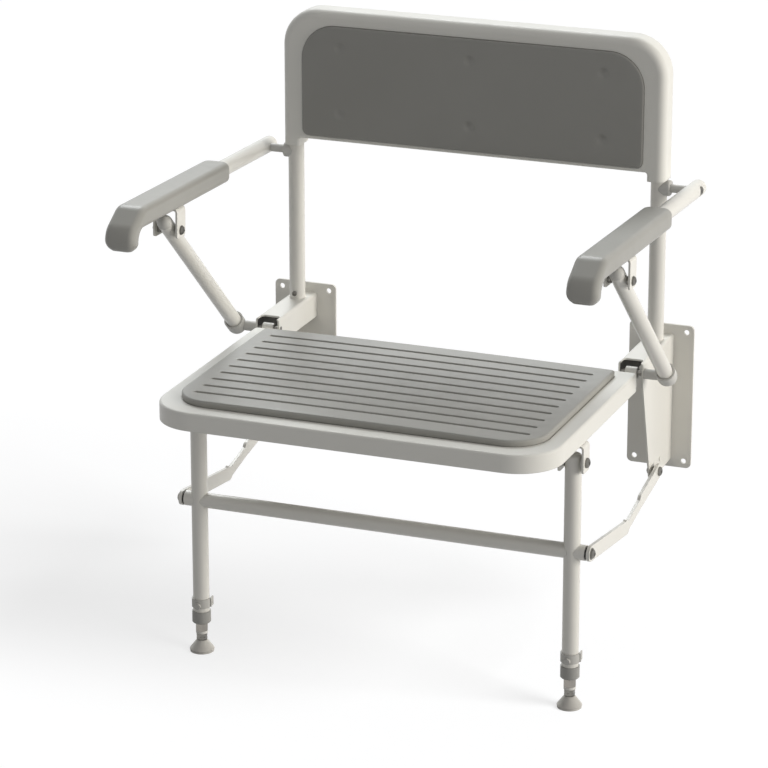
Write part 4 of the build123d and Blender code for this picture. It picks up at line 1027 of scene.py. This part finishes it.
def hexagon(apothem, height, limit=1.0):
    """A six-sided ring about the Z axis, with its corners cut back to a limiting radius."""
    points = []
    for a in TURNS:
        off = (a + pi / 6) % (pi / 3) - pi / 6
        radius = min(apothem / cos(off), limit)
        points.append(Vector((radius * cos(a), radius * sin(a), height)))
    return points


def stand(bm, rings, place, along):
    """Join rings made about the Z axis, close both ends, and stand them at a place along a direction."""
    turn = along.to_track_quat("Z", "Y").to_matrix()
    made = [ring(bm, [turn @ p + place for p in points]) for points in rings]
    bridge(bm, made)
    cap(bm, made[0])
    cap(bm, made[-1])


# %% Bolt heads, washers, nuts and shanks
HEAD_EDGE = 0.22
HEAD_DOME = 63
HEAD_STEPS = 7
SOCKET_SHARE = 0.36


def button_head(bm, place, along, radius, height):
    """A domed head with a hexagon socket; the socket opens along the direction."""
    rings = [circle(radius * 0.97, 0), circle(radius, height * 0.08), circle(radius, height * HEAD_EDGE)]
    for i in range(1, HEAD_STEPS + 1):
        a = radians(HEAD_DOME * i / HEAD_STEPS)
        rise = HEAD_EDGE + (1 - HEAD_EDGE) * sin(a) / sin(radians(HEAD_DOME))
        rings.append(circle(radius * cos(a), height * rise))
    socket = radius * SOCKET_SHARE
    rings.append(hexagon(socket, height))
    rings += [hexagon(socket * 0.95, height * share) for share in (0.92, 0.3)]
    stand(bm, rings, place, along)


def washer(bm, place, along, radius, thickness):
    """A flat washer with broken edges."""
    edge = thickness * 0.25
    rings = [circle(radius - edge, 0), circle(radius, edge), circle(radius, thickness - edge)]
    rings.append(circle(radius - edge, thickness))
    stand(bm, rings, place, along)


def lock_nut(bm, place, along, apothem, height, bore):
    """A six-sided nut with chamfered corners, a round collar and the bolt's end in it."""
    corner = apothem / cos(pi / 6)
    six_sided = ((0.0, 0.99 * apothem), (0.12, corner), (0.58, corner), (0.70, 0.98 * apothem))
    collar = ((0.74, 0.86 * apothem), (0.94, 0.84 * apothem), (1.0, 0.74 * apothem))
    bolt_end = ((0.99, bore), (1.12, 0.98 * bore), (1.22, 0.8 * bore))
    rings = [hexagon(apothem, height * share, limit) for share, limit in six_sided]
    rings += [circle(radius, height * share) for share, radius in collar + bolt_end]
    stand(bm, rings, place, along)


def shank(bm, place, along, radius, length):
    """A plain round shank."""
    stand(bm, [circle(radius, 0), circle(radius, length)], place, along)


# %% Places and pieces of hardware
OUT = Vector((1, 0, 0))
BOLT_SHANK = 4.0 * MM
BOLT_CREASE = 40.0


def reach_of(node, sign):
    """The x of a node's inner and outer ends on one side."""
    spots = [v.co.x for v in nodes[node].data.vertices if v.co.x * sign > 0]
    return (min(spots), max(spots)) if sign > 0 else (max(spots), min(spots))


def beside(place, x):
    """A place moved sideways to an x."""
    return Vector((x, place.y, place.z))


def hardware(name, bm, body, replaced, crease=BOLT_CREASE):
    """A zinc piece with crisp edges that stands for one of the frame's."""
    piece = new_piece(name, bm, metals["dull_zinc"], body, [replaced])
    keep_creases(piece, crease)
    print(name, len(piece.data.polygons), "faces")


# %% Arm pivots: a button head in the spot face, screwed into the post
ARM_HEAD = (6.4 * MM, 4.0 * MM)

bm = bmesh.new()
for side, sign in SIDES:
    pivot = Vector(joints[f"{side}_arm_fold"]["pos_m"])
    inner, outer = reach_of("arm_pivot_bolts", sign)
    head_face = outer - sign * ARM_HEAD[1]
    along = OUT * sign
    button_head(bm, beside(pivot, head_face), along, *ARM_HEAD)
    shank(bm, beside(pivot, inner), along, BOLT_SHANK, abs(head_face - inner))
hardware("arm_pivot_screws", bm, "wall_frame", "arm_pivot_bolts")

# %% Strut bolts through the brackets under the arms
STRUT_END = 3.5 * MM
STRUT_WASHER = (7.4 * MM, 1.0 * MM)
STRUT_HEAD = (6.3 * MM, 3.6 * MM)
STRUT_NUT = (6.3 * MM, 5.0 * MM)
STRUT_SHOULDER = (7.0 * MM, 4.7 * MM)
FORK_WALL = 3.0 * MM

for side, _ in SIDES:
    swing = Vector(joints[f"{side}_strut_swing"]["pos_m"])
    low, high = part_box(f"{side}_strut_bolt")
    head_face = high.x - STRUT_END
    nut_face = low.x + STRUT_END
    bm = bmesh.new()
    washer(bm, beside(swing, head_face), OUT, *STRUT_WASHER)
    button_head(bm, beside(swing, head_face + STRUT_WASHER[1]), OUT, *STRUT_HEAD)
    shank(bm, beside(swing, nut_face), OUT, BOLT_SHANK, head_face - nut_face)
    lock_nut(bm, beside(swing, nut_face), -OUT, *STRUT_NUT, BOLT_SHANK)
    for face, turn in ((head_face, -OUT), (nut_face, OUT)):
        shank(bm, beside(swing, face) + turn * FORK_WALL, turn, *STRUT_SHOULDER)
    hardware(f"{side}_strut_screw", bm, f"{side}_arm", f"{side}_strut_bolt")

# %% Leg pivots under the seat
LEG_END = 4.0 * MM
LEG_HEAD = (7.8 * MM, 5.2 * MM)
LEG_NUT = (6.5 * MM, 5.5 * MM)

leg_pivot = Vector(joints["leg_fold"]["pos_m"])
bm = bmesh.new()
for _, sign in SIDES:
    inner, outer = reach_of("leg_pivot_bolts", sign)
    along = OUT * sign
    head_face = outer - sign * LEG_END
    nut_face = inner + sign * LEG_END
    button_head(bm, beside(leg_pivot, head_face), along, *LEG_HEAD)
    shank(bm, beside(leg_pivot, nut_face), along, BOLT_SHANK, abs(head_face - nut_face))
    lock_nut(bm, beside(leg_pivot, nut_face), -along, *LEG_NUT, BOLT_SHANK)
hardware("leg_pivot_screws", bm, "seat", "leg_pivot_bolts")

# %% Link bolts at the gussets
LINK_HEAD_END = 4.5 * MM
LINK_NUT_END = 5.0 * MM
LINK_HEAD = (7.4 * MM, 4.3 * MM)
LINK_NUT = (6.5 * MM, 5.0 * MM)
SPACER_RADIUS = 6.5 * MM
SPACER_START = 3.0 * MM
SPACER_PLAY = 0.3 * MM

bm = bmesh.new()
for side, sign in SIDES:
    pivot = Vector(joints[f"{side}_link_swing"]["pos_m"])
    low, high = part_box(f"{side}_link_bar")
    link_face = low.x if sign > 0 else high.x
    inner, outer = reach_of("link_pivot_bolts", sign)
    along = OUT * sign
    head_face = outer - sign * LINK_HEAD_END
    nut_face = inner + sign * LINK_NUT_END
    spacer = nut_face + sign * SPACER_START
    button_head(bm, beside(pivot, head_face), along, *LINK_HEAD)
    shank(bm, beside(pivot, nut_face), along, BOLT_SHANK, abs(head_face - nut_face))
    shank(bm, beside(pivot, spacer), along, SPACER_RADIUS, abs(link_face - spacer) - SPACER_PLAY)
    lock_nut(bm, beside(pivot, nut_face), -along, *LINK_NUT, BOLT_SHANK)
hardware("link_pivot_screws", bm, "wall_frame", "link_pivot_bolts")

# %% Link end bolts at the crossbar
END_SHANK = 5.0 * MM
END_HEAD_AT = 6.0 * MM
END_WASHER = (9.0 * MM, 1.2 * MM)
END_HEAD = (7.2 * MM, 4.3 * MM)

for side, sign in SIDES:
    low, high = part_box(f"{side}_link_end_bolt")
    middle = (low + high) / 2
    inner = low.x if sign > 0 else high.x
    along = OUT * sign
    bm = bmesh.new()
    washer(bm, beside(middle, inner + sign * END_SHANK), along, *END_WASHER)
    button_head(bm, beside(middle, inner + sign * END_HEAD_AT), along, *END_HEAD)
    shank(bm, beside(middle, inner), along, BOLT_SHANK, END_SHANK)
    hardware(f"{side}_link_end_screw", bm, f"{side}_link", f"{side}_link_end_bolt")

# %% [markdown]
# ## Pad screws and post screws
# Small pan-head screws hold the pads from behind and lock each post on its spigot. Their cross recess is
# pressed into a dense disc: points that lie within the cross are pushed down.

# %% Cross-head screws
CROSS_WIDTH = 0.17
CROSS_REACH = 0.62
CROSS_DEPTH = 0.55
PAN_EDGE = 0.35
PAN_FLAT = 0.72
PAN_DOME = 75
PAN_STEPS = 5
PAN_SHARES = (0.68, 0.62, 0.55, 0.46, 0.36, 0.26, 0.17, 0.08)


def cross_head(bm, place, along, radius, height):
    """A pan head with a cross recess, standing on a place along a direction."""
    rings = [circle(radius, 0), circle(radius, height * PAN_EDGE)]
    for i in range(1, PAN_STEPS + 1):
        a = radians(PAN_DOME * i / PAN_STEPS)
        rise = PAN_EDGE + (1 - PAN_EDGE) * sin(a) / sin(radians(PAN_DOME))
        rings.append(circle(radius * (PAN_FLAT + (1 - PAN_FLAT) * cos(a)), height * rise))
    for share in PAN_SHARES:
        points = circle(radius * share, height)
        for p in points:
            wide, long = sorted((abs(p.x), abs(p.y)))
            if wide < CROSS_WIDTH * radius and long < CROSS_REACH * radius:
                p.z -= CROSS_DEPTH * height
        rings.append(points)
    stand(bm, rings, place, along)


# %% Where the frame's screws are
CELL = 30.0 * MM
SAME_SCREW = 20.0 * MM


def box_of(points):
    """The low and the high corner of a set of points."""
    return [Vector([pick(p[i] for p in points) for i in range(3)]) for pick in (min, max)]


def screw_boxes(node, axis):
    """The box of each separate screw of a node, by grouping its points across an axis."""
    across = [i for i in range(3) if i != axis]
    groups = {}
    for v in nodes[node].data.vertices:
        key = tuple(round(v.co[i] / CELL) for i in across)
        groups.setdefault(key, []).append(v.co.copy())
    screws = []
    for points in groups.values():
        middle = sum(points, Vector()) / len(points)
        for first, found in screws:
            if sum((middle[i] - first[i]) ** 2 for i in across) < SAME_SCREW**2:
                found.extend(points)
                break
        else:
            screws.append((middle, list(points)))
    return [box_of(found) for _, found in screws]


# %% Post screws and pad screws
SCREW_HEAD = (4.2 * MM, 2.5 * MM)
SCREW_SHANK = 2.0 * MM
SCREW_SETS = (
    ("post_screw_heads", "post_screws", "wall_frame", Vector((0, -1, 0)), 1.9 * MM),
    ("back_pad_screw_heads", "back_pad_screws", "wall_frame", Vector((0, 1, 0)), 12.8 * MM),
    ("seat_pad_screw_heads", "seat_pad_screws", "seat", Vector((0, 0, -1)), 10.8 * MM),
)
for name, node, body, outward, length in SCREW_SETS:
    axis = 2 if outward.z else 1
    bm = bmesh.new()
    for low, high in screw_boxes(node, axis):
        spot = (low + high) / 2
        end = high[axis] if outward[axis] > 0 else low[axis]
        spot[axis] = end - outward[axis] * SCREW_HEAD[1]
        cross_head(bm, spot, outward, *SCREW_HEAD)
        shank(bm, spot, -outward, SCREW_SHANK, length)
    hardware(name, bm, body, node)

# %% [markdown]
# ## Levelling feet
# Each foot stands on a threaded stud with a lock nut, screwed into the plug of the leg extension. The
# thread is one surface whose radius rises and falls with height and turns with the angle, which makes a
# true helix.

# %% Threads and locked nuts
STUD_RADIUS = 5.0 * MM
THREAD_PITCH = 1.5 * MM
THREAD_DEPTH = 0.75 * MM
THREAD_SLOPE = 2.6
STEPS_PER_PITCH = 8
NUT_APOTHEM = 7.3 * MM
NUT_HEIGHT = 11.2 * MM


def thread_rings(start, end):
    """Rings of a screw thread from one height to another."""
    count = round((end - start) / THREAD_PITCH * STEPS_PER_PITCH)
    rings = []
    for k in range(count + 1):
        height = start + (end - start) * k / count
        points = []
        for i, a in enumerate(TURNS):
            phase = (height / THREAD_PITCH - i / SPOKES) % 1.0
            dip = THREAD_DEPTH * max(0.0, 1.0 - abs(phase - 0.5) * THREAD_SLOPE)
            radius = STUD_RADIUS - dip
            points.append(Vector((radius * cos(a), radius * sin(a), height)))
        rings.append(points)
    return rings


def double_nut(base):
    """Rings of two nuts locked on each other, with chamfered corners."""
    corner = NUT_APOTHEM / cos(pi / 6)
    half = NUT_HEIGHT / 2
    steps = (
        (0.0, 0.98 * NUT_APOTHEM),
        (1.1 * MM, corner),
        (half - 0.6 * MM, corner),
        (half - 0.1 * MM, NUT_APOTHEM),
        (half + 0.1 * MM, NUT_APOTHEM),
        (half + 0.6 * MM, corner),
        (NUT_HEIGHT - 1.1 * MM, corner),
        (NUT_HEIGHT, 0.98 * NUT_APOTHEM),
    )
    return [hexagon(NUT_APOTHEM, base + up, limit) for up, limit in steps]


# %% Threaded studs
UP = Vector((0, 0, 1))
PLAIN_RADIUS = STUD_RADIUS - 0.02 * MM
NUT_ABOVE = 4.0 * MM
PLAIN_IN_NUT = 1.0 * MM
THREAD_IN_NUT = 2.0 * MM
STUD_CREASE = 30.0

for side, _ in SIDES:
    low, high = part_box(f"{side}_foot_stud")
    axis = Vector(((low.x + high.x) / 2, (low.y + high.y) / 2, 0))
    nut_base = low.z + NUT_ABOVE
    bm = bmesh.new()
    stand(bm, [circle(PLAIN_RADIUS, low.z), circle(PLAIN_RADIUS, nut_base + PLAIN_IN_NUT)], axis, UP)
    stand(bm, thread_rings(nut_base + THREAD_IN_NUT, high.z), axis, UP)
    stand(bm, double_nut(nut_base), axis, UP)
    hardware(f"{side}_threaded_stud", bm, f"{side}_foot", f"{side}_foot_stud", STUD_CREASE)
